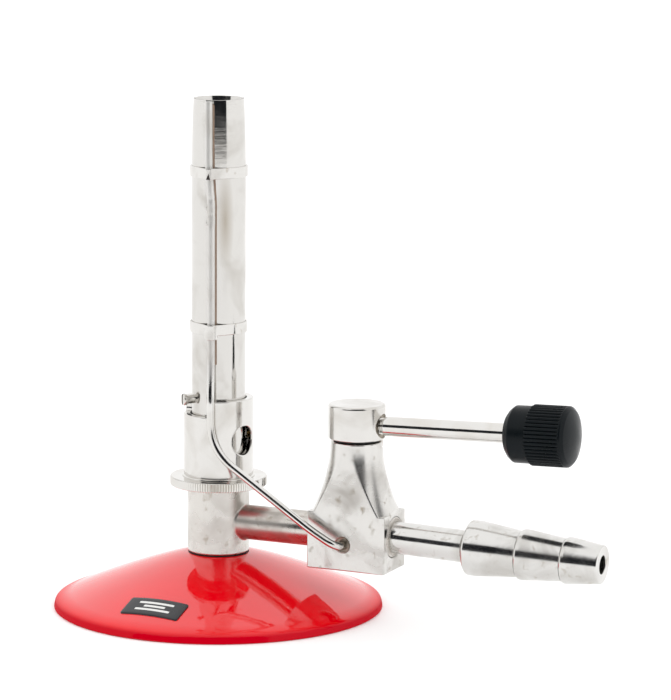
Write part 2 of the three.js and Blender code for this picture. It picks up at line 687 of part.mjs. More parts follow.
function leverGeometry() {
  return turned([
    [0, -LEVER_SPIGOT_LENGTH], [LEVER_SPIGOT_RADIUS, -LEVER_SPIGOT_LENGTH], [LEVER_SPIGOT_RADIUS, GAP],
    [LEVER_RADIUS, GAP], [LEVER_RADIUS, LEVER_REACH - GAP], [LEVER_SPIGOT_RADIUS, LEVER_REACH - GAP],
    [LEVER_SPIGOT_RADIUS, LEVER_REACH + LEVER_TENON_LENGTH], [0, LEVER_REACH + LEVER_TENON_LENGTH],
  ], 20);
}

function knobGeometry() {
  const { ribRadius, ribs } = KNOB;
  const [ribStart, ribEnd] = [LEVER_REACH + KNOB.ribStart, LEVER_REACH + KNOB.ribEnd];
  const holeEnd = LEVER_REACH + LEVER_TENON_LENGTH + GAP;
  const core = turned([
    [0, holeEnd], [LEVER_SPIGOT_RADIUS + GAP, holeEnd], [LEVER_SPIGOT_RADIUS + GAP, LEVER_REACH],
    ...[...KNOB_FRONT, ...KNOB_END].map(([r, along]) => [r, LEVER_REACH + along]),
  ], 28);
  const ribbed = new THREE.ExtrudeGeometry(toothedShape(ribRadius, 0.5, ribs), {
    depth: ribEnd - ribStart, bevelEnabled: false,
  }).translate(0, 0, ribStart);
  const hollow = rod(KNOB.radius - 1.5, ribStart - 1, ribEnd + 1, 12);
  return toGeometry(toSolid(core).add(toSolid(ribbed).subtract(toSolid(hollow))));
}

addPiece('valve_plug', plugGeometry(), 'brass', cock);
addPiece('plug_washer', plugWasherGeometry(), 'brass', cock);
addPiece('plug_spring', plugSpringGeometry(), 'springSteel', cock);
addPiece('plug_screw', plugScrewGeometry(), 'brass', cock);
addPiece('valve_cap', capGeometry(), 'nickel', cock);
const stopPin = addPiece('stop_pin', rod(STOP_PIN.radius, STOP_PIN.bottom, STOP_PIN.top, 12), 'nickel', cock);
const stopPinAngle = radians(STOP_PIN.angle);
stopPin.position.set(STOP_PIN.orbit * Math.cos(stopPinAngle), STOP_PIN.orbit * Math.sin(stopPinAngle), 0);
addPiece('lever_rod', leverGeometry(), 'nickel', lever);
addPiece('lever_knob', knobGeometry(), 'blackPlastic', lever);

// ---- Pilot tube and its clips -----------------------------------------------------------

/** A point beside the burner's axis at a distance, angle and height. */
function polar(distance, angle, height) {
  return new THREE.Vector3(distance * Math.cos(radians(angle)), distance * Math.sin(radians(angle)), height);
}

function pilotGeometry() {
  const pilotAtMouth = MOUTH_RADIUS + GAP + PILOT_RADIUS;
  const points = [
    ...PILOT_LEAN.map(([height, angle], i) => polar(i ? PILOT_ON_TUBE : pilotAtMouth, angle, height)),
    polar(PILOT_ON_TUBE, PILOT_ANGLE, PILOT_LEAVES_TUBE),
    ...PILOT_BENDS.map(([x, z]) => new THREE.Vector3(x, PILOT_PLANE, z)),
    new THREE.Vector3(PILOT_PORT_X, PILOT_PLANE, PILOT_PORT_HEIGHT),
    new THREE.Vector3(PILOT_PORT_X, -PILOT_PORT_DEPTH - GAP, PILOT_PORT_HEIGHT),
  ];
  const section = new THREE.Shape().absarc(0, 0, PILOT_RADIUS, 0, 2 * Math.PI, false);
  section.holes.push(circlePath(PILOT_BORE_RADIUS));
  return weld(new THREE.ExtrudeGeometry(section, {
    steps: 44,
    curveSegments: 4,
    extrudePath: roundedRoute(points, PILOT_CORNERS),
  }));
}

/** The outline of a strap stretched round two circles whose centres lie along +X. */
function stretchedOutline(path, radius, smallRadius, distance) {
  const tangent = Math.acos((radius - smallRadius) / distance);
  path.absarc(0, 0, radius, tangent, 2 * Math.PI - tangent, false);
  path.absarc(distance, 0, smallRadius, -tangent, tangent, false);
  path.closePath();
  return path;
}

/** A strap round both tubes, its pilot side towards +X. */
function clipGeometry() {
  const outerTube = TUBE_RADIUS + GAP + STRAP_THICKNESS;
  const outerPilot = PILOT_RADIUS + GAP + STRAP_THICKNESS;
  const shape = stretchedOutline(new THREE.Shape(), outerTube, outerPilot, PILOT_ON_TUBE);
  shape.holes.push(stretchedOutline(new THREE.Path(), outerTube - STRAP_THICKNESS,
    outerPilot - STRAP_THICKNESS, PILOT_ON_TUBE));
  return weld(new THREE.ExtrudeGeometry(shape, {
    depth: STRAP_HEIGHT, bevelEnabled: false, curveSegments: 9,
  }));
}

addPiece('pilot_tube', pilotGeometry(), 'nickel');
Object.entries(CLIPS).forEach(([name, { height, angle }]) => {
  addPiece(name, clipGeometry().rotateZ(radians(angle)).translate(0, 0, height), 'nickel');
});

export default burner;
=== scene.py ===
"""Bunsen burner: nickel-plated burner and gas line on a red enamelled base, with a black lever knob."""

import math

import bmesh
import bpy
import numpy as np
from mathutils import Matrix, Vector


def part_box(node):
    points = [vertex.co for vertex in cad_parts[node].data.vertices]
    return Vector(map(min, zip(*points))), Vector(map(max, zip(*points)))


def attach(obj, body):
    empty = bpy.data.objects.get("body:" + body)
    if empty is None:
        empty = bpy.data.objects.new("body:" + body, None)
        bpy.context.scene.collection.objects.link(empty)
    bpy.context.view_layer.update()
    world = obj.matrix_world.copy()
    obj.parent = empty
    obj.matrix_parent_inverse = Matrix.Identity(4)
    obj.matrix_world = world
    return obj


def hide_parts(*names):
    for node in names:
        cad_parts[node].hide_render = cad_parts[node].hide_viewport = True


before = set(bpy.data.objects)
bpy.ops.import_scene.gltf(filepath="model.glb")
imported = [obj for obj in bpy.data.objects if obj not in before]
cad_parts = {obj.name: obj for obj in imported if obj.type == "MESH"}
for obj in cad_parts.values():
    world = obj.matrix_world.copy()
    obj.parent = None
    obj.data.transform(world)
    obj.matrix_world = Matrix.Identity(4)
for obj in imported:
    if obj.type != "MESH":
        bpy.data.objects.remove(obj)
scene = bpy.context.scene
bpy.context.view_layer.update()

# ---- Sizes, in millimetres ----
# The main ones are read from the frame; the rest are the details that the frame leaves out.
# Bores, the mouth's flare and the boss are given by their radius.

MM = 0.001


def box_mm(node):
    """Lowest and highest corner of a CAD node, in millimetres."""
    low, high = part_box(node)
    return Vector(low) / MM, Vector(high) / MM


BASE_RADIUS, _, BASE_TOP = box_mm("base")[1]
BASE_CREASE = (41, 3.5)  # radius and height where the rim's shoulder meets the dome
BASE_WALL = 3.5
BOSS_RADIUS = 15
BASE_RIM_INNER = 39.5
BASE_HOLE = (5.3, 5.5)  # radius and floor of the hole for the hub's spigot
BASE_ROLL = ((45, 0.2), (44.7, 2.7), (44.4, 2.05), (41, 3.5))  # Bezier points of the rolled rim
DOME_POWER = 1.2

HUB_RADIUS = box_mm("hub")[1].x
HUB_BOTTOM = 15.35
HUB_TOP = box_mm("burner_tube")[0].z
HUB_SPIGOT = (5, 6)  # radius and foot
HUB_BORES = ((5.9, 38.2), (4.2, 30.6), (2.9, 21))  # radius and floor: round the jet, its thread, the passage

TUBE_RADIUS, _, MOUTH_HEIGHT = box_mm("burner_tube")[1]
TUBE_BORE = 6.2
TAPER_START = 121.4
TAPER_POWER = 1.8
MOUTH_RADIUS = 6.85
MOUTH_BORE = 6.05
MOUTH_FLARE = 6.62

RING_BOTTOM = box_mm("knurled_ring")[0].z
RING_RADIUS, _, RING_TOP = box_mm("knurled_ring")[1]
RING_TEETH = 112
RING_TOOTH_DEPTH = 0.35
_, SLEEVE_RADIUS, SLEEVE_TOP = box_mm("air_sleeve")[1]
SLEEVE_BORE = 7.65
NOTCH_FLOOR = 53.7
NOTCH_ANGLES = (-174, -78)  # degrees, both ends of the low part of the sleeve's top edge
AIR_HOLE_RADIUS = 3.95
AIR_HOLE_HEIGHT = 47
HOLE_CELLS = 52  # grid cells across the square patch that holds an air hole
TUBE_AIR_ANGLE = 31
SLEEVE_AIR_ANGLE = -16
STOP_SCREW_ANGLE = -130
STOP_SCREW_HEIGHT = 57.9

LINE_HEIGHT = 24  # axis of the gas line
ARM_RADIUS = box_mm("side_arm")[1].y
STEM_RADIUS = 4.35
THREAD_RADIUS = 3.6  # of the arm and the stem inside the block
SEAL_SEAT = 0.9  # depth of the counterbore round the stem
VALVE_X = sum(corner.x for corner in box_mm("valve_body")) / 2
BLOCK_LOW, BLOCK_HIGH = box_mm("valve_body")
BLOCK_TOP = 30.5
NECK_RADIUS = 7.05
FLARE_GROWTH = 4.6
FLARE_POWER = 2
PLUG_SEAT = 18.6
RECESS_RADIUS = 5.4
PLUG_BORE = (5.15, 4.55)  # radius at the top and at the seat
STOP_NOTCH = (10, 120, 47.4)  # degrees from and to, and the height of its floor

CAP_LOW, CAP_HIGH = box_mm("valve_cap")
CAP_RADIUS = CAP_HIGH.y
LEVER_HEIGHT = 53.9
LEVER_RISE = 1.7  # degrees
LEVER_RADIUS = 2.65
LEVER_REACH = 35.8  # from the cap's side to the knob
KNOB_LENGTH = 19.2
KNOB_RADIUS = 7.6
KNOB_RIB_RADIUS = 8.1
KNOB_RIBS = 48
KNOB_RIB_SPAN = (7.2, 16.8)

OUTLET_DROOP = 1.65  # degrees that the stem and the nozzle hang below the line
# each barb: start, radius at its peak and at its tail, length of the peak
NOZZLE_BARBS = ((74.3, 7.45, 6.15, 2.6), (88.9, 6.8, 5.7, 1.4), (101.4, 6.28, 5.45, 1.2))
NOZZLE_START = NOZZLE_BARBS[0][0]
NOZZLE_END = 111.7
NOZZLE_BORE = 2.45

PILOT_RADIUS = 1.05
PILOT_BORE = 0.6
PILOT_ANGLE = -78  # where the pilot tube runs up the burner tube
PILOT_LEAN = ((112, PILOT_ANGLE), (TAPER_START, -82.5), (MOUTH_HEIGHT - 0.3, -84))  # height, angle
PILOT_DISTANCE = TUBE_RADIUS + PILOT_RADIUS
PILOT_PLANE = -10.8  # the sloping run lies in this plane, beside the arm
PILOT_PORT = Vector((VALVE_X - 0.9, BLOCK_LOW.y, 22))
PORT_RADIUS = 2.1
PILOT_FOOT = 68  # height where the tube curves away from the burner tube
PILOT_BENDS = ((2.8, PILOT_PLANE + 0.1, 60), (2.9, PILOT_PLANE, 45.4), (32.6, PILOT_PLANE, 26.1))
PILOT_CORNERS = (3, 3, 3, 3, 7.5, 3, 3.5)
PILOT_FLAT = (105.6, 114.6)  # heights between which the tube is pinched
PILOT_NIPS = (108.8, 112.9)
PILOT_NUBS = (106.6, 110.7)

STRAP = 0.5  # thickness of a clip's strap
FOLD = 0.36  # and of the folded sheet over it
UPPER_CLIP_ANGLE = -82

LABEL_LENGTH = 17.4
LABEL_WIDTH = 7.2
LABEL_RADIUS = 34.5  # distance of the label's middle from the burner's axis
LABEL_ANGLE = -93.4
LABEL_LIFT = 0.45  # the label's face above the dome
LABEL_MARKS = ((5.4, 1.5), (3.3, 0), (5.4, -1.5))  # half length and place of each plain bar
MARK_HALF_WIDTH = 0.42

# ---- Places: each turned piece is made along its own +Z and laid down here ----


def shift(x, y, z):
    return Matrix.Translation((x, y, z))


def spin(degrees, axis):
    return Matrix.Rotation(math.radians(degrees), 4, axis)


UPRIGHT = Matrix.Identity(4)
GAS_LINE = shift(0, 0, LINE_HEIGHT) @ spin(90, "Y")
OUTLET = shift(BLOCK_HIGH.x, 0, LINE_HEIGHT) @ spin(90 + OUTLET_DROOP, "Y") @ shift(0, 0, -BLOCK_HIGH.x)
VALVE = shift(VALVE_X, 0, 0)
LEVER = shift(VALVE_X + CAP_RADIUS, 0, LEVER_HEIGHT) @ spin(90 - LEVER_RISE, "Y")
KNOB = LEVER @ shift(0, 0, LEVER_REACH)
STOP_SCREW = shift(0, 0, STOP_SCREW_HEIGHT) @ spin(STOP_SCREW_ANGLE, "Z") @ spin(90, "Y")
PILOT_HOLE = shift(*PILOT_PORT) @ spin(90, "X")

# ---- Mesh tools ----

MERGE_DISTANCE = 2e-4
CORNER_SUPPORT = 0.06  # an extra ring beside each rounded corner keeps flats flat


def grid_faces(rows, columns, wrap_rows=False, wrap_columns=True):
    """Quads between neighbouring rows and columns of a grid of points."""
    r = np.arange(rows if wrap_rows else rows - 1)[:, None]
    c = np.arange(columns if wrap_columns else columns - 1)[None, :]
    next_r = (r + 1) % rows
    next_c = (c + 1) % columns
    corners = (r * columns + c, r * columns + next_c, next_r * columns + next_c, next_r * columns + c)
    return np.stack(np.broadcast_arrays(*corners), -1).reshape(-1, 4)


def grid_patch(rows, wrap_rows=False, wrap_columns=True):
    """A patch from rows of points, all of one length."""
    points = np.array(rows)
    return points.reshape(-1, 3), grid_faces(*points.shape[:2], wrap_rows, wrap_columns)


def smooth(mesh, sharp_degrees=38):
    mesh.shade_smooth()
    mesh.set_sharp_from_angle(angle=math.radians(sharp_degrees))


def build(name, patches, place=UPRIGHT, sharp_degrees=38):
    """One object from patches in millimetres, joined where they touch."""
    points = np.concatenate([patch[0] for patch in patches])
    starts = np.cumsum([0] + [len(patch[0]) for patch in patches[:-1]])
    faces = np.concatenate([patch[1] + start for patch, start in zip(patches, starts)])
    mesh = bpy.data.meshes.new(name)
    mesh.from_pydata(points.tolist(), [], faces.tolist())
    shape = bmesh.new()
    shape.from_mesh(mesh)
    bmesh.ops.remove_doubles(shape, verts=shape.verts, dist=MERGE_DISTANCE)
    bmesh.ops.dissolve_degenerate(shape, edges=shape.edges, dist=MERGE_DISTANCE)
    bmesh.ops.recalc_face_normals(shape, faces=shape.faces)
    shape.transform(Matrix.Scale(MM, 4) @ place)
    shape.to_mesh(mesh)
    shape.free()
    smooth(mesh, sharp_degrees)
    piece = bpy.data.objects.new(name, mesh)
    scene.collection.objects.link(piece)
    return piece


def carve(piece, *cutters):
    """Cuts closed objects from a piece and removes them."""
    for cutter in cutters:
        cut = piece.modifiers.new("cut", "BOOLEAN")
        cut.operation = "DIFFERENCE"
        cut.solver = "EXACT"
        cut.object = cutter
    bpy.context.view_layer.update()
    evaluated = piece.evaluated_get(bpy.context.evaluated_depsgraph_get())
    mesh = bpy.data.meshes.new_from_object(evaluated)
    piece.modifiers.clear()
    old = piece.data
    piece.data = mesh
    bpy.data.meshes.remove(old)
    smooth(mesh)
    for cutter in cutters:
        bpy.data.objects.remove(cutter)


def rounded(points, closed=False, steps=6):
    """An outline whose points may carry a corner radius as their third number."""
    outline = []
    for i, (x, y, *radius) in enumerate(points):
        corner = np.array((x, y), float)
        if not radius or (not closed and i in (0, len(points) - 1)):
            outline.append(corner)
            continue
        to_last = np.array(points[i - 1][:2], float) - corner
        to_next = np.array(points[(i + 1) % len(points)][:2], float) - corner
        to_last /= np.hypot(*to_last)
        to_next /= np.hypot(*to_next)
        half = math.acos(np.clip(to_last @ to_next, -1, 1)) / 2
        reach = radius[0] / math.tan(half)
        middle = to_last + to_next
        centre = corner + middle / np.hypot(*middle) * radius[0] / math.sin(half)
        start = corner + to_last * reach - centre
        end = corner + to_next * reach - centre
        sweep = math.pi - 2 * half
        outline.append(corner + to_last * (reach + CORNER_SUPPORT))
        for share in np.linspace(0, 1, steps + 1):
            turn = start * math.sin((1 - share) * sweep) + end * math.sin(share * sweep)
            outline.append(centre + turn / math.sin(sweep))
        outline.append(corner + to_next * (reach + CORNER_SUPPORT))
    return np.array(outline)


def around(radius, angles, height):
    """Points at a distance, an angle and a height on +Z."""
    return np.stack(np.broadcast_arrays(radius * np.cos(angles), radius * np.sin(angles), height), -1)


def ring_rows(profile, angles):
    """Rows of points around +Z, one for each (radius, height) of a profile."""
    return around(profile[:, 0, None], angles, profile[:, 1, None])


def quarter(steps):
    """Steps of a rounded edge of radius 1: how far back from one face, and how far down the other."""
    bend = np.linspace(0, math.pi / 2, steps)
    return np.stack((1 - np.sin(bend), 1 - np.cos(bend)), -1)


def distances(route):
    """Distance along a route at each of its points."""
    return np.concatenate([[0], np.cumsum(np.linalg.norm(np.diff(route, axis=0), axis=1))])


def circle(columns, start=0.0):
    return start + np.linspace(0, 2 * math.pi, columns, endpoint=False)


def lathe(name, points, place=UPRIGHT, columns=160, closed=False, steps=6):
    """A turned piece. Its outline ends on the axis, or closes on itself."""
    profile = rounded(points, closed, steps)
    return build(name, [grid_patch(ring_rows(profile, circle(columns)), closed)], place)


# ---- Materials ----


class Finish:
    """A Principled material whose textures live in the object's own space."""

    def __init__(self, name, **values):
        self.material = bpy.data.materials.new(name)
        self.material.use_nodes = True
        self.tree = self.material.node_tree
        self.shader = self.tree.nodes["Principled BSDF"]
        self.space = self.node("TexCoord").outputs["Object"]
        self.use(**values)

    def set(self, node, **inputs):
        """Sets a node's sockets to values, or links them to other sockets."""
        for name, value in inputs.items():
            socket = node.inputs[name.replace("_", " ")]
            if isinstance(value, bpy.types.NodeSocket):
                self.tree.links.new(value, socket)
            else:
                socket.default_value = value
        return node

    def node(self, kind, **inputs):
        return self.set(self.tree.nodes.new("ShaderNode" + kind), **inputs)

    def use(self, **inputs):
        self.set(self.shader, **inputs)
        return self.material

    def noise(self, scale, detail=3, stretch=(1, 1, 1), distortion=0.0):
        """A cloudy pattern, 0 to 1; scale is in cells for each metre."""
        place = self.node("Mapping", Vector=self.space, Scale=stretch).outputs[0]
        node = self.node("TexNoise", Vector=place, Scale=scale, Detail=detail, Distortion=distortion)
        return node.outputs[0]

    def height_above(self, low, high, least=0.0):
        """The least value below the first height and 1 above the second, in metres."""
        return self.levels(self.node("SeparateXYZ", Vector=self.space).outputs["Z"], low, high, least)

    def spot(self, centre, reach):
        """1 at a centre, fading to 0 at the reach along each axis, in metres."""
        place = self.node("Mapping", Vector=self.space, Scale=[1 / size for size in reach],
                          Location=[-at / size for at, size in zip(centre, reach)])
        fade = self.node("TexGradient", Vector=place.outputs[0])
        fade.gradient_type = "SPHERICAL"
        return fade.outputs["Color"]

    def levels(self, source, low, high, new_low=0.0, new_high=1.0):
        node = self.node("MapRange", Value=source)
        for socket, value in zip(node.inputs[1:5], (low, high, new_low, new_high)):
            socket.default_value = value
        return node.outputs[0]

    def mix(self, factor, first, second):
        node = self.node("Mix")
        node.data_type = "RGBA"
        self.tree.links.new(factor, node.inputs[0])
        for socket, colour in ((node.inputs[6], first), (node.inputs[7], second)):
            if isinstance(colour, tuple):
                socket.default_value = (*colour, 1)
            else:
                self.tree.links.new(colour, socket)
        return node.outputs[2]

    def bump(self, height, distance, below=None):
        """Relief; distance is in metres, and below is the relief under it."""
        node = self.node("Bump", Height=height, Distance=distance)
        if below is not None:
            self.set(node, Normal=below)
        return node.outputs[0]


def nickel(name, stretch, tint=(0.7, 0.685, 0.66), shine=0.1, wear=1.0, stains=0.0,
           ridges_above=None, dull_above=None, brown_patch=None):
    """Nickel plate: lathe or polishing lines across the stretch, cloudy handling marks, tiny pits.

    Above the two heights, in metres, it has coarse turning ridges, or it is duller. The last argument
    gives a brown patch, darker than the plate, by its centre and its reach.
    """
    finish = Finish("nickel_" + name, Metallic=1.0)
    clouds = finish.noise(95, 4, distortion=0.6)
    red, green, blue = tint
    dull = tuple(channel * (1 - 0.2 * wear) for channel in (red, green * 0.98, blue * 0.95))
    red, green, blue = dull
    stained = tuple(channel * (1 - 0.2 * stains) for channel in (red, green * 0.94, blue * 0.86))
    base = finish.mix(finish.levels(clouds, 0.46, 0.72), tint, dull)
    if stains:
        spots = finish.noise(420, 4, distortion=0.4)
        base = finish.mix(finish.levels(spots, 0.6, 0.78), base, stained)
    if brown_patch:
        base = finish.mix(finish.spot(*brown_patch), base, tuple(0.8 * channel for channel in stained))
    rough = finish.levels(clouds, 0.3, 0.75, shine * 0.7, shine + 0.12 * wear)
    relief = finish.bump(finish.noise(1, 2, stretch), 1.2e-6)
    if ridges_above:
        shown = finish.height_above(ridges_above, ridges_above + 0.006)
        ridges = finish.mix(shown, (0.5, 0.5, 0.5), finish.noise(1, 2, (120, 120, 950)))
        relief = finish.bump(ridges, 1.7e-5, relief)
    if dull_above:
        dull_rough = finish.levels(clouds, 0.3, 0.75, 0.48, 0.6)
        rough = finish.mix(finish.height_above(dull_above, dull_above + 0.004), rough, dull_rough)
    relief = finish.bump(finish.noise(240, 2), 2.5e-5, relief)
    relief = finish.bump(finish.noise(1400, 2), 1.5e-6 * wear, relief)
    return finish.use(Base_Color=base, Roughness=rough, Normal=relief)


def red_enamel():
    """Glossy red enamel, with a thin coat on the rim; the darker red low on the rim is painted shade."""
    finish = Finish("red_enamel", Coat_Roughness=0.03, Coat_IOR=1.82, Roughness=0.4, Specular_IOR_Level=0.0)
    dome = finish.mix(finish.levels(finish.noise(60, 3), 0.35, 0.7), (0.84, 0.0, 0.006), (0.77, 0.0, 0.005))
    # below 1.7 mm the red is darker: painted shade on the rim's foot
    colour = finish.mix(finish.height_above(0.0017, 0.0026), (0.54, 0.0, 0.01), dome)
    ripple = finish.bump(finish.noise(150, 2), 4e-5)
    speck = finish.bump(finish.levels(finish.noise(1900, 1), 0.66, 0.8), 6e-6, ripple)
    thin = finish.height_above(0.0016, 0.0038, 0.1)
    return finish.use(Base_Color=colour, Normal=speck, Coat_Normal=speck, Coat_Weight=thin)


def black_plastic():
    finish = Finish("black_plastic", Specular_IOR_Level=0.13)
    cloud = finish.noise(180, 4)
    colour = finish.mix(cloud, (0.002, 0.0035, 0.0045), (0.006, 0.009, 0.011))
    rough = finish.levels(cloud, 0.3, 0.7, 0.24, 0.42)
    relief = finish.bump(finish.noise(2600, 2), 5e-6)
    return finish.use(Base_Color=colour, Roughness=rough, Normal=relief)


def plain_finish(name, first, second, metal, rough, cells, relief_depth, **values):
    """A finish with a little drift of colour and roughness and a fine relief."""
    finish = Finish(name, Metallic=metal, **values)
    cloud = finish.noise(cells, 4)
    colour = finish.mix(cloud, first, second)
    gloss = finish.levels(cloud, 0.25, 0.75, rough * 0.75, rough * 1.3)
    relief = finish.bump(finish.noise(cells * 8, 2), relief_depth)
    return finish.use(Base_Color=colour, Roughness=gloss, Normal=relief)


TURNED_UP = (40, 40, 16000)  # stretch of the marks on pieces turned about a vertical axis
TURNED_ALONG = (16000, 40, 40)  # and about the gas line or the lever
DRAWN_UP = (5000, 5000, 60)  # drawn tube and wire
CAST = (900, 900, 900)

materials = {
    "tube": nickel("tube", TURNED_UP, (0.655, 0.64, 0.615), shine=0.07, ridges_above=0.118,
                   brown_patch=((0.0047, -0.0056, 0.107), (0.0026, 0.0026, 0.015))),
    "turned": nickel("turned_up", TURNED_UP, shine=0.12, wear=0.8),
    "knurl": nickel("knurl", TURNED_UP, shine=0.05, wear=0.4),
    "hub": nickel("hub", TURNED_UP, (0.66, 0.635, 0.6), shine=0.26, wear=1.2, stains=0.7),
    "arm": nickel("arm", TURNED_ALONG, (0.66, 0.625, 0.585), shine=0.3, wear=1.4, stains=1.0),
    "line": nickel("turned_along", TURNED_ALONG, (0.7, 0.69, 0.67), shine=0.12, wear=1.2, stains=0.9),
    "lever": nickel("lever", TURNED_ALONG, (0.72, 0.708, 0.685), shine=0.08, wear=0.4),
    "block": nickel("block", CAST, shine=0.2, wear=1.5, stains=1.2),
    "pilot": nickel("pilot", DRAWN_UP, (0.72, 0.708, 0.685), shine=0.12, wear=0.7, dull_above=0.062),
    "clip": nickel("clip", DRAWN_UP, (0.69, 0.675, 0.65), shine=0.1, wear=1.3, stains=0.6),
    "red": red_enamel(),
    "plastic": black_plastic(),
    "plate": plain_finish("label_black", (0.008, 0.009, 0.011), (0.02, 0.02, 0.023), 0, 0.3, 300, 3e-6),
    "mark": plain_finish("label_marks", (0.86, 0.86, 0.84), (0.75, 0.75, 0.73), 0, 0.5, 500, 3e-6),
    # near-black: the hub's gasket, and the painted shade in the gap under the valve cap
    "rubber": plain_finish("rubber", (0.008, 0.008, 0.008), (0.02, 0.019, 0.018), 0, 0.7, 400, 1e-5),
    "brass": plain_finish("brass", (0.72, 0.47, 0.17), (0.55, 0.34, 0.12), 1, 0.28, 300, 4e-6),
    "fibre": plain_finish("fibre", (0.36, 0.07, 0.04), (0.24, 0.045, 0.03), 0, 0.8, 700, 1e-5),
    "steel": plain_finish("spring_steel", (0.5, 0.5, 0.52), (0.36, 0.37, 0.4), 1, 0.3, 500, 3e-6),
    # brown, used only in the groove beside the pilot tube: painted shade
    "groove_shade": plain_finish("painted_groove_shade", (0.36, 0.25, 0.18), (0.13, 0.085, 0.06), 0, 0.55, 700, 2e-5),
    # near-black, used only in the upper clip's notch: painted shade
    "notch_shade": plain_finish("notch_shade", (0.03, 0.022, 0.018), (0.01, 0.008, 0.007), 0, 0.6, 900, 1e-5),
    "solder": plain_finish("solder", (0.5, 0.45, 0.38), (0.2, 0.17, 0.13), 1, 0.42, 900, 4e-5),
}


def fit(piece, finish, *replaced, body="burner", slot="nickel_plate"):
    """Gives a piece its finish, its body and the CAD nodes that it stands for."""
    piece.data.materials.clear()
    piece.data.materials.append(materials[finish])
    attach(piece, body)
    if replaced:
        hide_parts(*replaced)


# ---- Base, label and hub ----


def dome_height(radius):
    """Height of the base's upper surface at a distance from the axis."""
    share = np.clip((radius - HUB_RADIUS) / (BASE_CREASE[0] - HUB_RADIUS), 0, None)
    return BASE_TOP - (BASE_TOP - BASE_CREASE[1]) * share**DOME_POWER


def make_base():
    hole, floor = BASE_HOLE
    top = [(r, dome_height(r)) for r in np.linspace(BASE_CREASE[0] - 0.5, HUB_RADIUS + 0.3, 40)]
    t = np.linspace(0, 1, 25)[:, None]
    first, second, third, last = np.array(BASE_ROLL)
    roll = first * (1 - t) ** 3 + 3 * second * t * (1 - t) ** 2 + 3 * third * t**2 * (1 - t) + last * t**3
    hollow = np.linspace(BOSS_RADIUS + 2, BASE_RIM_INNER - 1, 16)
    profile = [
        (0, 0), (BOSS_RADIUS, 0, 0.5), (BOSS_RADIUS, dome_height(BOSS_RADIUS) - BASE_WALL, 1),
        *((r, dome_height(r) - BASE_WALL) for r in hollow),
        (BASE_RIM_INNER, 0, 0.4), (BASE_RADIUS - 0.3, 0), *roll, *top,
        (HUB_RADIUS, BASE_TOP, 0.2), (hole, BASE_TOP, 0.3), (hole, floor), (0, floor),
    ]
    fit(lathe("base_enamel", profile, columns=320), "red", "base", slot="red_enamel")


def label_point(along, across, lift):
    """Points on the dome, from distances along and across the label's middle."""
    slope = math.atan2(dome_height(LABEL_RADIUS - 1) - dome_height(LABEL_RADIUS + 1), 2)
    out = LABEL_RADIUS + across * math.cos(slope)
    height = dome_height(np.hypot(out, along)) + lift
    turn = math.radians(LABEL_ANGLE)
    x = out * math.cos(turn) - along * math.sin(turn)
    y = out * math.sin(turn) + along * math.cos(turn)
    return np.stack((x, y, height), -1)


def rectangle_reach(angles, half_x, half_y, corner):
    """Distance from the middle of a rectangle with round corners to its edge, in each direction."""
    c, s = np.abs(np.cos(angles)), np.abs(np.sin(angles))
    reach = np.minimum(half_x / np.maximum(c, 1e-9), half_y / np.maximum(s, 1e-9))
    in_corner = (reach * c > half_x - corner) & (reach * s > half_y - corner)
    along = (half_x - corner) * c + (half_y - corner) * s
    beyond = (half_x - corner) ** 2 + (half_y - corner) ** 2 - corner**2
    return np.where(in_corner, along + np.sqrt(np.maximum(along**2 - beyond, 0)), reach)


def rectangle_angles(half_x, half_y, columns, extra=10):
    """Directions spread evenly, with more of them at the four corners."""
    corner = math.atan2(half_y, half_x)
    near = np.radians(np.linspace(-3.2, 3.2, extra))
    corners = [near + sign * corner + turn for sign in (1, -1) for turn in (0, math.pi)]
    return np.unique(np.round(np.concatenate([circle(columns), *corners]) % (2 * math.pi), 6))


def label_bar(half_length, half_width, corner, low, high, place=0):
    """A thin bar with a bevelled edge, lying on the dome at a place across the label."""
    angles = rectangle_angles(half_length, half_width, 96)
    reach = rectangle_reach(angles, half_length, half_width, corner)
    edge = min(0.12, 0.8 * (high - low))
    insets = [(half_width, low), (0, low), (0, high - edge), (edge * 0.3, high - edge * 0.3), (edge, high)]
    insets += [(half_width * (1 - share), high) for share in np.linspace(1 - edge / half_width, 0, 6)[1:]]
    rows = []
    for inset, lift in insets:
        size = reach * (1 - inset / half_width)
        rows.append(label_point(size * np.cos(angles), size * np.sin(angles) + place, lift))
    return grid_patch(rows)


def make_label():
    plate = label_bar(LABEL_LENGTH / 2, LABEL_WIDTH / 2, 0.5, -0.2, LABEL_LIFT)
    fit(build("label_sheet", [plate]), "plate", "label_plate", slot="label_black")
    bars = [
        label_bar(half_length, MARK_HALF_WIDTH, 0.2, LABEL_LIFT - 0.05, LABEL_LIFT + 0.05, place)
        for half_length, place in LABEL_MARKS
    ]
    fit(build("label_marks", bars), "mark", slot="label_black")


def make_hub():
    edge, inner = HUB_RADIUS - 0.1, HUB_SPIGOT[0] + 0.2
    gasket = [(inner, BASE_TOP), (edge, BASE_TOP, 0.05), (edge, HUB_BOTTOM, 0.05), (inner, HUB_BOTTOM)]
    fit(lathe("hub_gasket_ring", gasket, closed=True), "rubber", "hub_gasket", slot="rubber")
    spigot, foot = HUB_SPIGOT
    (jet, jet_floor), (thread, thread_floor), (passage, floor) = HUB_BORES
    profile = [
        (0, foot), (spigot, foot), (spigot, HUB_BOTTOM), (HUB_RADIUS, HUB_BOTTOM, 0.6),
        (HUB_RADIUS, RING_BOTTOM, 0.3), (jet, RING_BOTTOM), (jet, jet_floor), (thread, jet_floor),
        (thread, thread_floor), (passage, thread_floor), (passage, floor), (0, floor),
    ]
    fit(lathe("hub_body", profile, columns=192), "hub", "hub")


# ---- Burner tube and air regulator ----


def hole_band(outer, columns):
    """Lowest and highest level of the band that holds the air holes."""
    half_span = outer * math.sin(math.pi * HOLE_CELLS / columns)
    return AIR_HOLE_HEIGHT - half_span, AIR_HOLE_HEIGHT + half_span


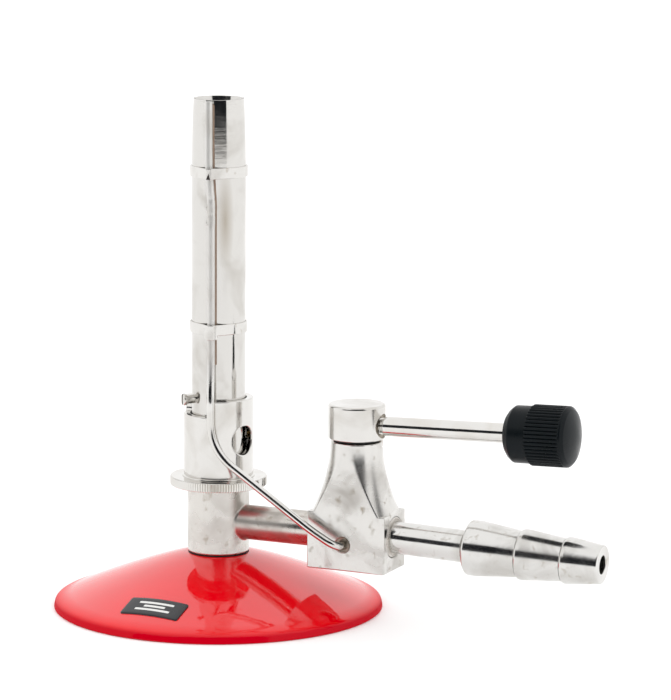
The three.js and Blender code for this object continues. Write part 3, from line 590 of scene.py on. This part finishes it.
def hole_loop():
    """Directions from a hole's middle to the points round the square patch that holds it."""
    step = np.linspace(-1, 1, HOLE_CELLS + 1)[:-1]
    one = np.ones(HOLE_CELLS)
    return np.concatenate([step, one, -step, -one]), np.concatenate([-one, step, one, -step])


def on_cylinder(radius, across, rise, turn):
    """Points on an upright cylinder, given across and above the middle of an air hole."""
    depth = np.sqrt(radius**2 - across**2)
    x = depth * math.cos(turn) - across * math.sin(turn)
    y = depth * math.sin(turn) + across * math.cos(turn)
    return np.stack((x, y, AIR_HOLE_HEIGHT + rise), -1)


def pierced_tube(name, outer, inner, hole_angle, columns, lip, above, below):
    """A tube with two opposite round holes.

    The band round the holes is a plain grid with two square patches left out. Each patch is
    filled with rings that turn from its square into the hole's circle. above and below
    are rows of points that close the tube over its top and bottom edges.
    """
    turn = math.radians(hole_angle)
    levels = np.linspace(*hole_band(outer, columns), HOLE_CELLS + 1)
    keep = np.ones((HOLE_CELLS, columns), bool)
    half = HOLE_CELLS // 2
    for middle in (0, columns // 2):
        keep[:, np.arange(middle - half, middle + half) % columns] = False
    across, upward = hole_loop()
    direction = np.arctan2(upward, across)
    hole = np.stack((np.cos(direction), np.sin(direction)))
    patches = [above, below]
    for radius in (outer, inner):
        band = ring_rows(np.stack((radius + 0 * levels, levels), -1), circle(columns, turn))
        patches.append((band.reshape(-1, 3), grid_faces(*band.shape[:2])[keep.ravel()]))
        square = np.stack((
            radius * np.sin(across * math.pi * HOLE_CELLS / columns), upward * (levels[-1] - AIR_HOLE_HEIGHT),
        ))
        for side in (turn, turn + math.pi):
            rings = [
                on_cylinder(radius, *(square * (1 - t) + (AIR_HOLE_RADIUS + lip) * hole * t), side)
                for t in np.linspace(0, 1, 13)
            ]
            patches.append(grid_patch(rings))
    wall = [(AIR_HOLE_RADIUS + lip * back, outer - lip * down) for back, down in quarter(7)]
    wall += [(AIR_HOLE_RADIUS + lip * back, inner + lip * down) for back, down in quarter(7)[::-1]]
    for side in (turn, turn + math.pi):
        rings = [on_cylinder(radius, *(size * hole), side) for size, radius in wall]
        patches.append(grid_patch(rings))
    return build(name, patches)


def closing_rows(profile, angles):
    return grid_patch(ring_rows(rounded(profile), angles))


def make_burner_tube():
    columns = 240
    angles = circle(columns, math.radians(TUBE_AIR_ANGLE))
    low, high = hole_band(TUBE_RADIUS, columns)
    shares = np.linspace(0, 1, 14)[:-1]
    taper = np.stack((TUBE_RADIUS - (TUBE_RADIUS - MOUTH_RADIUS) * shares**TAPER_POWER,
                      TAPER_START + (MOUTH_HEIGHT - TAPER_START) * shares), -1)
    above = closing_rows([
        (TUBE_RADIUS, high), *taper, (MOUTH_RADIUS, MOUTH_HEIGHT, 0.12),
        (MOUTH_FLARE, MOUTH_HEIGHT, 0.1), (MOUTH_BORE, MOUTH_HEIGHT - 2.3, 4),
        (TUBE_BORE, TAPER_START), (TUBE_BORE, high),
    ], angles)
    below = closing_rows([
        (TUBE_RADIUS, low), (TUBE_RADIUS, HUB_TOP, 0.2), (TUBE_BORE, HUB_TOP, 0.2),
        (TUBE_BORE, low),
    ], angles)
    tube = pierced_tube("burner_tube_shell", TUBE_RADIUS, TUBE_BORE, TUBE_AIR_ANGLE,
                        columns, 0.15, above, below)
    fit(tube, "tube", "burner_tube")


def notch_edge(angles):
    """The sleeve's top edge, unrolled: shifted angle, height and inward direction for each column."""
    window = 2.6
    step = rounded([
        (-window, NOTCH_FLOOR), (0, NOTCH_FLOOR, 0.9), (0, SLEEVE_TOP, 0.6), (window, SLEEVE_TOP),
    ], steps=10)
    lengths = distances(step)
    fine = np.linspace(0, lengths[-1], 400)
    path = np.stack([np.interp(fine, lengths, step[:, k]) for k in (0, 1)], -1)
    run = np.gradient(path, axis=0)
    run /= np.hypot(*run.T)[:, None]
    edge_angle = angles.copy()
    height = np.full(len(angles), float(SLEEVE_TOP))
    inward = np.tile((0.0, -1.0), (len(angles), 1))
    first, last = np.radians(NOTCH_ANGLES)
    half_width = (last - first) / 2
    offset = (angles - (first + last) / 2 + math.pi) % (2 * math.pi) - math.pi
    height[np.abs(offset) < half_width] = NOTCH_FLOOR
    for side in (-1, 1):
        distance = (side * offset - half_width) * SLEEVE_RADIUS
        near = np.abs(distance) < window
        share = (distance[near] + window) / (2 * window) * (len(fine) - 1)
        picked = np.round(share).astype(int)
        edge_angle[near] = angles[near] + side * (path[picked, 0] - distance[near]) / SLEEVE_RADIUS
        height[near] = path[picked, 1]
        inward[near] = np.stack((side * run[picked, 1], -run[picked, 0]), -1)
    return edge_angle, height, inward


def make_air_sleeve():
    columns, bevel = 300, 0.22
    angles = circle(columns, math.radians(SLEEVE_AIR_ANGLE))
    low, high = hole_band(SLEEVE_RADIUS, columns)
    edge_angle, edge_height, inward = notch_edge(angles)

    def edge_row(offset):
        """Angles and heights of the top edge, moved inward."""
        return edge_angle + inward[:, 0] * offset / SLEEVE_RADIUS, edge_height + inward[:, 1] * offset

    start_angle, start_height = edge_row(bevel + 0.1)
    rise = [
        (angles * (1 - t) + start_angle * t, high * (1 - t) + start_height * t)
        for t in np.linspace(0, 1, 9)[:-1]
    ]
    rim = [
        (bevel + 0.1, SLEEVE_RADIUS),
        *((bevel * back, SLEEVE_RADIUS - bevel * down) for back, down in quarter(5)),
        *((bevel * back, SLEEVE_BORE + bevel * down) for back, down in quarter(5)[::-1]),
        (bevel + 0.1, SLEEVE_BORE),
    ]
    rows = [around(SLEEVE_RADIUS, *row) for row in rise]
    rows += [around(radius, *edge_row(offset)) for offset, radius in rim]
    rows += [around(SLEEVE_BORE, *row) for row in rise[::-1]]
    below = closing_rows([
        (SLEEVE_RADIUS, low), (SLEEVE_RADIUS, RING_TOP, 0.2), (SLEEVE_BORE, RING_TOP, 0.2),
        (SLEEVE_BORE, low),
    ], angles)
    sleeve = pierced_tube("air_sleeve_shell", SLEEVE_RADIUS, SLEEVE_BORE, SLEEVE_AIR_ANGLE,
                          columns, 0.45, grid_patch(rows), below)
    fit(sleeve, "turned", "air_sleeve", body="air_regulator")


def make_knurled_ring():
    angles = circle(RING_TEETH * 8)
    tooth = RING_TOOTH_DEPTH * np.abs(angles * RING_TEETH / math.pi % 2 - 1)
    low, high, edge, bevel = RING_BOTTOM, RING_TOP, RING_RADIUS, 0.22
    profile = rounded([
        (SLEEVE_BORE, low, 0.2), (edge - bevel, low, 0.1), (edge, low + bevel, 0.1),
        (edge, high - bevel, 0.1), (edge - bevel, high, 0.1), (SLEEVE_RADIUS + 0.5, high),
        (SLEEVE_BORE, high, 0.2),
    ], closed=True, steps=3)
    rows = ring_rows(profile, angles)
    shrink = np.minimum(1, (edge - tooth) / profile[:, 0, None])
    rows[..., :2] *= shrink[..., None]
    ring = build("knurled_ring_rim", [grid_patch(rows, wrap_rows=True)])
    fit(ring, "knurl", "knurled_ring", body="air_regulator")
    inner, outer = SLEEVE_RADIUS - 0.3, SLEEVE_RADIUS + 0.4
    bead = [(inner, high - 0.1), (outer, high - 0.1), (outer, high + 0.25, 0.2), (inner, high + 0.5)]
    bead = lathe("sleeve_bead", bead, closed=True)
    fit(bead, "turned", body="air_regulator")


def make_stop_screw():
    shank, head, start, end = 1.2, 1.6, 9.7, 10.7
    screw = lathe("stop_screw_head", [
        (0, 6.5), (shank, 6.5), (shank, start), (head, start, 0.12), (head, end, 0.3), (0, end),
    ], STOP_SCREW, 64)
    carve(screw, build("slot", [box_patch((-3, -0.27, end - 0.7), (3, 0.27, end + 1))], STOP_SCREW))
    fit(screw, "turned", "stop_screw")


def box_patch(low, high):
    """The six faces of a box, used only to cut slots."""
    points = np.array([(x, y, z) for x in (low[0], high[0]) for y in (low[1], high[1])
                       for z in (low[2], high[2])])
    faces = np.array([(0, 1, 3, 2), (4, 6, 7, 5), (0, 4, 5, 1), (2, 3, 7, 6), (0, 2, 6, 4), (1, 5, 7, 3)])
    return points, faces


# ---- Gas line ----


def make_side_arm():
    start, end = 6.6, BLOCK_LOW.x + 3
    profile = [
        (0, start), (ARM_RADIUS, start), (ARM_RADIUS, BLOCK_LOW.x), (THREAD_RADIUS, BLOCK_LOW.x),
        (THREAD_RADIUS, end), (0, end),
    ]
    fit(lathe("side_arm_pipe", profile, GAS_LINE), "arm", "side_arm")
    # the brazed saddle where the pipe enters the hub
    size, sunk = 0.6, 0.02
    angles = circle(128)
    rows = []
    for back, down in quarter(9):
        radius = ARM_RADIUS + size * back - sunk
        saddle = np.sqrt(HUB_RADIUS**2 - (radius * np.sin(angles)) ** 2)
        rows.append(around(radius, angles, saddle + size * down - sunk))
    rows.append(around(ARM_RADIUS - 0.5, angles, 7.0))
    fit(build("arm_braze", [grid_patch(rows, wrap_rows=True)], GAS_LINE), "arm")


def make_stem():
    end, seat = BLOCK_HIGH.x - 3.7, BLOCK_HIGH.x - SEAL_SEAT
    groove, groove_radius = NOZZLE_START - 0.9, STEM_RADIUS - 0.25
    profile = [
        (0, end), (THREAD_RADIUS, end), (THREAD_RADIUS, seat), (STEM_RADIUS, seat, 0.1),
        (STEM_RADIUS, groove - 0.4, 0.1), (groove_radius, groove - 0.2, 0.1), (groove_radius, groove, 0.1),
        (STEM_RADIUS, groove + 0.2, 0.1), (STEM_RADIUS, NOZZLE_START + 3), (0, NOZZLE_START + 3),
    ]
    fit(lathe("inlet_stem_pipe", profile, OUTLET, steps=3), "line", "inlet_stem")
    face = BLOCK_HIGH.x + 0.05
    seal = [
        (STEM_RADIUS - 0.05, seat), (5.45, seat), (5.45, face - 0.15, 0.12), (5.0, face, 0.15),
        (4.85, face - 0.35, 0.08), (4.7, face - 0.05, 0.1), (STEM_RADIUS - 0.05, face - 0.2),
    ]
    fit(lathe("stem_seal_ring", seal, OUTLET, closed=True, steps=3), "arm", "stem_seal")


def make_nozzle():
    ends = [start for start, *_ in NOZZLE_BARBS[1:]] + [NOZZLE_END]
    outline = []
    for (start, peak, tail, land), end in zip(NOZZLE_BARBS, ends):
        outline += [(peak, start, 0.7), (peak, start + land, 1.2), (tail, end, 0.15)]
    outline[-1] = (outline[-1][0] - 0.3, NOZZLE_END, 0.35)
    socket_end = 84
    outline += [
        (NOZZLE_BORE, NOZZLE_END, 0.25), (NOZZLE_BORE, socket_end), (STEM_RADIUS, socket_end),
        (STEM_RADIUS, NOZZLE_START, 0.2),
    ]
    fit(lathe("hose_nozzle_barbs", outline, OUTLET, 192, closed=True), "line", "hose_nozzle")


# ---- Valve ----


def smooth_minimum(a, b, blend):
    share = np.clip(0.5 + 0.5 * (b - a) / blend, 0, 1)
    return b * (1 - share) + a * share - blend * share * (1 - share)


def flare_radius(height):
    share = np.clip((BLOCK_HIGH.z - height) / (BLOCK_HIGH.z - BLOCK_TOP), 0, 1)
    return NECK_RADIUS + FLARE_GROWTH * share**FLARE_POWER


def make_valve_body():
    half = (BLOCK_HIGH - BLOCK_LOW) / 2
    bottom, top = BLOCK_LOW.z, BLOCK_HIGH.z
    corner, edge, blend = 0.35, 0.3, 0.25
    angles = rectangle_angles(half.x, half.y, 400, 14)
    reach = rectangle_reach(angles, half.x, half.y, corner)
    rows = [(RECESS_RADIUS, PLUG_SEAT), (RECESS_RADIUS, bottom + 0.2)]
    for share in (0.0, 0.5, 1.0):
        rows.append((RECESS_RADIUS + 0.2 + (reach - edge - RECESS_RADIUS - 0.25) * share, bottom))
    rows += [(reach - edge * back, bottom + edge * down) for back, down in quarter(5)]
    rows += [(reach, z) for z in np.linspace(bottom + edge + 0.1, BLOCK_TOP - 0.4, 12)]
    shelf = np.clip(reach - flare_radius(BLOCK_TOP), 0, blend)
    rows += [(reach - shelf * down, BLOCK_TOP - blend * back) for back, down in quarter(5)]
    inner = smooth_minimum(reach, flare_radius(BLOCK_TOP), blend)
    rows += [((reach - shelf) * (1 - share) + inner * share, BLOCK_TOP) for share in (0.5, 0.95)]
    flare = np.linspace(BLOCK_TOP, top - edge, 170)
    rows += [(smooth_minimum(reach, flare_radius(z), blend), z) for z in flare]
    rows += [(NECK_RADIUS - edge * down, top - edge * back) for back, down in quarter(5)[1:]]
    rows += [(PLUG_BORE[0] + 0.15, top), (PLUG_BORE[0], top - 0.2), (PLUG_BORE[1], PLUG_SEAT)]
    start, end, floor = STOP_NOTCH
    degrees = (np.degrees(angles) + 180) % 360 - 180
    inside = np.clip(np.minimum(degrees - start, end - degrees) / 1.5 + 0.5, 0, 1)
    ceiling = top - (top - floor) * inside
    points = [around(radius, angles, np.minimum(z, ceiling)) for radius, z in rows]
    body = build("valve_body_block", [grid_patch(points, wrap_rows=True)], VALVE)
    port = lathe("port", [
        (0, -1.7), (PORT_RADIUS, -1.7), (PORT_RADIUS, -0.25), (PORT_RADIUS + 0.35, 0.1),
        (PORT_RADIUS + 0.35, 1), (0, 1),
    ], PILOT_HOLE, 72)
    seat, face = BLOCK_HIGH.x - SEAL_SEAT, BLOCK_HIGH.x
    pocket = lathe("pocket", [
        (0, seat), (5.6, seat), (5.6, face - 0.15), (5.85, face + 0.1), (5.85, face + 1), (0, face + 1),
    ], OUTLET, 128)
    carve(body, port, pocket)
    fit(body, "block", "valve_body")
    solder = [
        (PILOT_RADIUS - 0.2, -1.9), (PORT_RADIUS + 0.05, -1.9), (PORT_RADIUS + 0.05, -0.75),
        (1.5, -1.05, 0.4), (PILOT_RADIUS - 0.1, -0.5),
    ]
    fit(lathe("pilot_solder", solder, PILOT_HOLE, 72, closed=True, steps=4), "solder", slot="brass")


def make_cap():
    bottom, top = CAP_LOW.z, CAP_HIGH.z
    outline = [(0, bottom), (CAP_RADIUS, bottom, 0.25), (CAP_RADIUS, top, 0.7), (0, top)]
    cap = lathe("valve_cap_round", outline, VALVE, 192)
    spot, spot_radius = -0.8, 3.3    # the flat that the lever is screwed into
    carve(cap, lathe("spot", [(0, spot), (spot_radius, spot), (spot_radius, 3), (0, 3)], LEVER, 72))
    fit(cap, "turned", "valve_cap", body="gas_cock")
    seat = [
        (0, spot - 0.4), (spot_radius + 0.1, spot - 0.4), (spot_radius + 0.1, spot + 0.2, 0.1),
        (2.6, spot + 0.08), (0, spot + 0.08),
    ]
    fit(lathe("lever_seat", seat, LEVER, 72, steps=3), "solder", body="gas_cock", slot="brass")
    # a near-black ring fills the gap between the block and the cap: painted shade
    low, high = BLOCK_HIGH.z + 0.05, bottom + 0.05
    gap_shade = [(3, low), (6.25, low, 0.15), (6.25, high, 0.15), (3, high)]
    fit(lathe("cock_gap_shade", gap_shade, VALVE, 128, closed=True, steps=3), "rubber",
        body="gas_cock", slot="rubber")
    low, high = box_mm("stop_pin")
    middle, radius = (low + high) / 2, (high.x - low.x) / 2
    peg = [(0, low.z), (radius, low.z, 0.15), (radius, high.z), (0, high.z)]
    pin = lathe("stop_pin_peg", peg, shift(middle.x, middle.y, 0), 48)
    fit(pin, "arm", "stop_pin", body="gas_cock")


def make_lever():
    start, pitch, threads = -0.75, 0.34, 4
    neck = [(2.2, start)]
    for i in range(threads):
        neck += [(1.95, start + (i + 0.5) * pitch), (2.2, start + (i + 1) * pitch)]
    end = LEVER_REACH + 1
    profile = [(0, start), *neck, (2.05, 0.68), (LEVER_RADIUS, 0.75, 0.2), (LEVER_RADIUS, end), (0, end)]
    fit(lathe("lever_bar", profile, LEVER), "lever", "lever_rod", body="gas_cock")


def make_knob():
    end_radius, end_rise = 7.1, 1.25   # the domed end
    outline = rounded([
        (0, 0.6), (2.9, 0.6, 0.2), (3.2, 0, 0.3), (5.7, 0.5, 0.3), (6.1, 1.1, 0.3), (6.7, 1.25, 0.3),
        (KNOB_RADIUS, 2.4, 0.7), (KNOB_RADIUS, 7.0), (KNOB_RADIUS, 7.25, 0.1), (KNOB_RIB_RADIUS, 7.3, 0.1),
        (KNOB_RIB_RADIUS, KNOB_LENGTH - 2.1, 0.8), (end_radius, KNOB_LENGTH - end_rise, 0.6),
        *((r, KNOB_LENGTH - end_rise * (r / end_radius) ** 2) for r in np.linspace(6.6, 0, 12)),
    ])
    dense = [outline[0]]
    for point in outline[1:]:
        steps = max(1, int(np.hypot(*(point - dense[-1])) / 0.5))
        dense += [dense[-1] + (point - dense[-1]) * k / steps for k in range(1, steps + 1)]
    profile = np.array(dense)
    radius, height = profile.T
    angles = circle(KNOB_RIBS * 12)
    groove = 1 - np.abs(np.cos(angles * KNOB_RIBS / 2)) ** 0.6
    first, last = KNOB_RIB_SPAN
    window = np.clip(np.minimum(height - first + 0.2, last - height) / 0.3, 0, 1) * (radius > KNOB_RADIUS)
    rows = ring_rows(profile, angles)
    sink = 0.55 * window[:, None] * groove[None, :]
    rows[..., :2] *= 1 - (sink / np.maximum(radius[:, None], 1))[..., None]
    knob = build("lever_knob_grip", [grid_patch(rows)], KNOB, 50)
    fit(knob, "plastic", "lever_knob", body="gas_cock", slot="black_plastic")


# ---- Pilot tube and its clips ----


def polar(distance, angle, height):
    turn = math.radians(angle)
    return Vector((distance * math.cos(turn), distance * math.sin(turn), height))


def rounded_route(points, corner_lengths, spacing=0.25):
    """Points along straight runs whose corners are rounded over a length on both sides."""
    route = [points[0]]

    def run_to(target):
        begin = route[-1]
        steps = max(1, int((target - begin).length / spacing))
        route.extend(begin.lerp(target, k / steps) for k in range(1, steps + 1))

    for i, length in enumerate(corner_lengths, 1):
        corner = points[i]
        entry = corner + (points[i - 1] - corner).normalized() * length
        leave = corner + (points[i + 1] - corner).normalized() * length
        run_to(entry)
        steps = 24
        for k in range(1, steps + 1):
            t = k / steps
            route.append(entry * (1 - t) ** 2 + corner * 2 * t * (1 - t) + leave * t**2)
    run_to(points[-1])
    return np.array(route)


def sweep(name, route, side, stations, squeeze=lambda distance: (1, 1), columns=40):
    """A tube along a route. stations are (distance along, radius); squeeze gives both half-axes there."""
    lengths = distances(route)
    along = np.gradient(route, axis=0)
    along /= np.linalg.norm(along, axis=1)[:, None]
    sides = []
    for direction in along:
        side = side - direction * (side @ direction)
        side = side / np.linalg.norm(side)
        sides.append(side)
    sides = np.array(sides)
    angles = circle(columns)[:, None]
    rows = []
    for distance, radius in stations:
        centre, forward, right = (
            np.array([np.interp(distance, lengths, values[:, k]) for k in range(3)])
            for values in (route, along, sides)
        )
        up = np.cross(forward, right)
        wide, tall = squeeze(distance)
        rows.append(centre + radius * (wide * np.cos(angles) * right + tall * np.sin(angles) * up))
    return build(name, [grid_patch(rows)])


def make_pilot_tube():
    (low, low_angle), (middle, middle_angle), (top, top_angle) = PILOT_LEAN
    port_x, port_y, port_z = PILOT_PORT
    points = [
        polar(MOUTH_RADIUS + PILOT_RADIUS + 0.05, top_angle, top),
        polar(PILOT_DISTANCE, middle_angle, middle),
        polar(PILOT_DISTANCE, low_angle, low),
        polar(PILOT_DISTANCE, low_angle, PILOT_FOOT),
        *(Vector(bend) for bend in PILOT_BENDS),
        Vector((port_x, PILOT_PLANE, port_z)),
        Vector((port_x, port_y + 1.45, port_z)),
    ]
    route = rounded_route(points, PILOT_CORNERS)
    total = distances(route)[-1]

    def squeeze(distance):
        """The tube is pinched a little flat between two nips below its upper clip."""
        height = top - distance
        flat = np.clip(min(height - PILOT_FLAT[0], PILOT_FLAT[1] - height) / 1.5 + 0.3, 0, 1)
        nip = sum(math.exp(-(((height - at) / 0.5) ** 2)) for at in PILOT_NIPS)
        return 1 - 0.1 * flat - 0.08 * nip, 1 + 0.08 * flat - 0.06 * nip

    bore, lip = PILOT_BORE, 0.12
    stations = [(5, 0), (5, bore), (lip, bore), (lip / 3, bore + lip / 3), (0, bore + lip),
                (0, PILOT_RADIUS - lip), (lip / 3, PILOT_RADIUS - lip / 3)]
    stations += [(distance, PILOT_RADIUS) for distance in np.arange(lip, total, 0.3)]
    stations += [(total, PILOT_RADIUS), (total, 0)]
    tube = sweep("pilot_tube_line", route, np.array(polar(1, PILOT_ANGLE, 0)), stations, squeeze)
    fit(tube, "pilot", "pilot_tube")
    half_turn = np.linspace(0, math.pi, 13)
    leaf = ring_rows(np.stack((0.42 * np.sin(half_turn), -0.75 * np.cos(half_turn)), -1), circle(24))
    beside = PILOT_ANGLE - math.degrees(PILOT_RADIUS / PILOT_DISTANCE)
    places = [np.array(polar(PILOT_DISTANCE + 0.15, beside, height)) for height in PILOT_NUBS]
    nubs = [grid_patch(leaf + place) for place in places]
    fit(build("pilot_crimp_nubs", nubs), "pilot")


def make_crevice():
    """A brown bead in the groove between the pilot tube and the burner tube: painted shade along the crevice.
    """
    heights = np.arange(PILOT_FOOT, MOUTH_HEIGHT - 0.8, 0.5)
    angles = np.interp(heights, *np.array(PILOT_LEAN).T) + 7
    taper = np.interp(heights, (TAPER_START, MOUTH_HEIGHT), (0, TUBE_RADIUS - MOUTH_RADIUS))
    route = np.array([polar(*place) for place in zip(TUBE_RADIUS + 0.25 - taper, angles, heights)])
    total = distances(route)[-1]
    stations = [(0, 0), *((distance, 0.42) for distance in np.arange(0.1, total, 0.5)), (total, 0)]
    bead = sweep("pilot_crevice_shade", route, np.array((1.0, 0, 0)), stations, columns=16)
    fit(bead, "groove_shade", slot="brass")


def strap_path(radius, small_radius, distance, columns=220):
    """Points and outward directions round two circles whose centres lie along +X."""
    tangent = math.acos((radius - small_radius) / distance)
    arcs = [
        (radius, 0, np.linspace(tangent, 2 * math.pi - tangent, columns)),
        (small_radius, distance, np.linspace(-tangent, tangent, columns // 4)),
    ]
    outward = [np.stack((np.cos(angles), np.sin(angles)), -1) for _, _, angles in arcs]
    points = [away * size + (centre, 0) for (size, centre, _), away in zip(arcs, outward)]
    return np.concatenate(points), np.concatenate(outward)


def strip_section(low, high, thickness, inner, outer):
    """A thin strip's cross-section: distance from its inner face, and height. Last, its corner radii."""
    return rounded([(0, low, inner), (0, high, inner), (thickness, high, outer), (thickness, low, outer)],
                   closed=True, steps=3)


def make_clip(name, node, angle, fold):
    """A strap, and the folded sheet over its pilot side: (first and last angle, drop below the strap)."""
    low, high = (corner.z for corner in box_mm(node))
    path, outward = strap_path(TUBE_RADIUS + 0.02, PILOT_RADIUS + 0.02, PILOT_DISTANCE)
    rows = [
        np.stack((*(path + outward * lift).T, np.full(len(path), height)), -1)
        for lift, height in strip_section(low, high, STRAP, 0.12, 0.2)
    ]
    start, end, drop = fold
    sheet = strip_section(low - drop, high + 0.05, FOLD, 0.1, 0.16)
    radius = PILOT_RADIUS + STRAP + sheet[:, 0]
    columns = [
        around(radius, turn, sheet[:, 1]) + (PILOT_DISTANCE, 0, 0)
        for turn in np.radians(np.linspace(start, end, 25))
    ]
    caps = [np.tile(columns[at].mean(0), (len(sheet), 1)) for at in (0, -1)]
    columns = [caps[0], *columns, caps[1]]
    clip = build(name, [grid_patch(rows, wrap_rows=True), grid_patch(columns)], spin(angle, "Z"))
    fit(clip, "clip", node)


def make_notch():
    """A near-black sheet in the triangular notch at the foot of the upper clip, beside its fold: painted
    shade where the notch lies in shadow.
    """
    foot = box_mm("upper_clip")[0].z
    shares = np.linspace(0, 1, 9)[:, None]
    middle, half_width, slant, rise = 8, 20, 6, 1.7
    turn = np.radians(middle + half_width * np.linspace(-1, 1, 13)[None, :] * (1 - shares) + slant * shares)
    inner, outer = (
        around(PILOT_RADIUS + STRAP + lift, turn, foot + rise * shares) + (PILOT_DISTANCE, 0, 0)
        for lift in (0.0, 0.06)
    )
    edges = [(inner[0], outer[0]), (inner[:, 0], outer[:, 0]), (inner[:, -1], outer[:, -1])]
    patches = [grid_patch(rows, wrap_columns=False) for rows in (inner, outer, *edges)]
    fit(build("upper_clip_notch_shade", patches, spin(UPPER_CLIP_ANGLE, "Z")), "notch_shade", slot="rubber")


# ---- The pieces ----

make_base()
make_label()
make_hub()
make_burner_tube()
make_air_sleeve()
make_knurled_ring()
make_stop_screw()
make_side_arm()
make_stem()
make_nozzle()
make_valve_body()
make_cap()
make_lever()
make_knob()
make_pilot_tube()
make_crevice()
make_clip("upper_clip_strap", "upper_clip", UPPER_CLIP_ANGLE, (27, 88, 0.0))
make_notch()
make_clip("lower_clip_strap", "lower_clip", PILOT_ANGLE, (-75, 75, 1.0))

inner_finishes = {
    "jet_washer": "fibre", "gas_jet": "brass", "valve_plug": "brass", "plug_washer": "brass",
    "plug_spring": "steel", "plug_screw": "brass",
}
for node, finish in inner_finishes.items():
    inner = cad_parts[node]
    inner.data.materials.clear()
    inner.data.materials.append(materials[finish])

# ---- Studio and camera ----


WORLD_STRENGTH = 1.15
FLOOR_GLOW = 0.14


def make_world():
    world = bpy.data.worlds.new("studio")
    world.use_nodes = True
    background = world.node_tree.nodes["Background"]
    background.inputs["Color"].default_value = (1, 1, 1, 1)
    background.inputs["Strength"].default_value = WORLD_STRENGTH
    scene.world = world


def make_floor():
    rings = np.array([(0, 0), (0.4, 0), (1.5, 0), (9, 0)]) / MM
    floor = build("floor", [grid_patch(ring_rows(rings, circle(64)))])
    floor.location.z = -0.0001
    paper = plain_finish("paper", (0.94, 0.94, 0.94), (0.92, 0.92, 0.92), 0, 0.8, 40, 1e-5,
                         Emission_Color=(1, 1, 1, 1), Emission_Strength=FLOOR_GLOW)
    floor.data.materials.append(paper)


AZIMUTH, ELEVATION, ROLL = 24.3, 9.56, 0.35
LENS = 184.2
DISTANCE = 0.972
TARGET = Vector((0, 0, 0.070))
TARGET_OFFSET = (-31.7, -0.81)  # the target's place in the camera's view, in millimetres right and up


def view_direction(azimuth, elevation):
    """From the burner towards a place in the studio; azimuth 0 looks at it along +Y."""
    a, e = math.radians(azimuth), math.radians(elevation)
    return Vector((math.sin(a) * math.cos(e), -math.cos(a) * math.cos(e), math.sin(e)))


def camera_axes():
    azimuth, roll = math.radians(AZIMUTH), math.radians(ROLL)
    back = view_direction(AZIMUTH, ELEVATION)
    right = Vector((math.cos(azimuth), math.sin(azimuth), 0))
    up = back.cross(right)
    return right * math.cos(roll) + up * math.sin(roll), up * math.cos(roll) - right * math.sin(roll), back


def make_camera():
    data = bpy.data.cameras.new("camera")
    data.sensor_width = 36
    data.lens = LENS
    data.clip_start, data.clip_end = 0.05, 60
    right, up, back = camera_axes()
    camera = bpy.data.objects.new("camera", data)
    scene.collection.objects.link(camera)
    place = Matrix((right, up, back)).transposed().to_4x4()
    place.translation = TARGET + back * DISTANCE - (right * TARGET_OFFSET[0] + up * TARGET_OFFSET[1]) * MM
    camera.matrix_world = place
    scene.camera = camera


CARD_SIDES = (-34, 60)  # azimuths of its two sides, in degrees
CARD_FOOT = -6  # degrees above the level
CARD_TOP = ((-6, 4), (26, 57))  # azimuths, and degrees above the level there
CARD_DISTANCE = 1600
CARD_FADE = (1.26, 1.41)  # heights in metres between which the cloth turns white


def make_card():
    """A dark screen behind the camera, seen only in the plating; it stands higher on its right side."""
    rows = []
    for share in np.linspace(0, 1, 14):
        row = []
        for azimuth in np.linspace(*CARD_SIDES, 60):
            top = np.interp(azimuth, *CARD_TOP)
            row.append(view_direction(azimuth, CARD_FOOT + (top - CARD_FOOT) * share))
        rows.append(np.array(row) * CARD_DISTANCE + np.array(TARGET) / MM)
    card = build("card", [grid_patch(rows, wrap_columns=False)])
    cloth = Finish("card", Roughness=0.9, Specular_IOR_Level=0.0)
    folds = cloth.mix(cloth.noise(5), (0.01, 0.012, 0.015), (0.02, 0.02, 0.022))
    faded = cloth.mix(cloth.height_above(*CARD_FADE), folds, (0.9, 0.9, 0.9))
    card.data.materials.append(cloth.use(Base_Color=faded))
    card.visible_camera = False
    card.visible_shadow = False
    card.visible_diffuse = False


make_world()
make_floor()
make_card()
make_camera()
scene.view_settings.view_transform = "Standard"
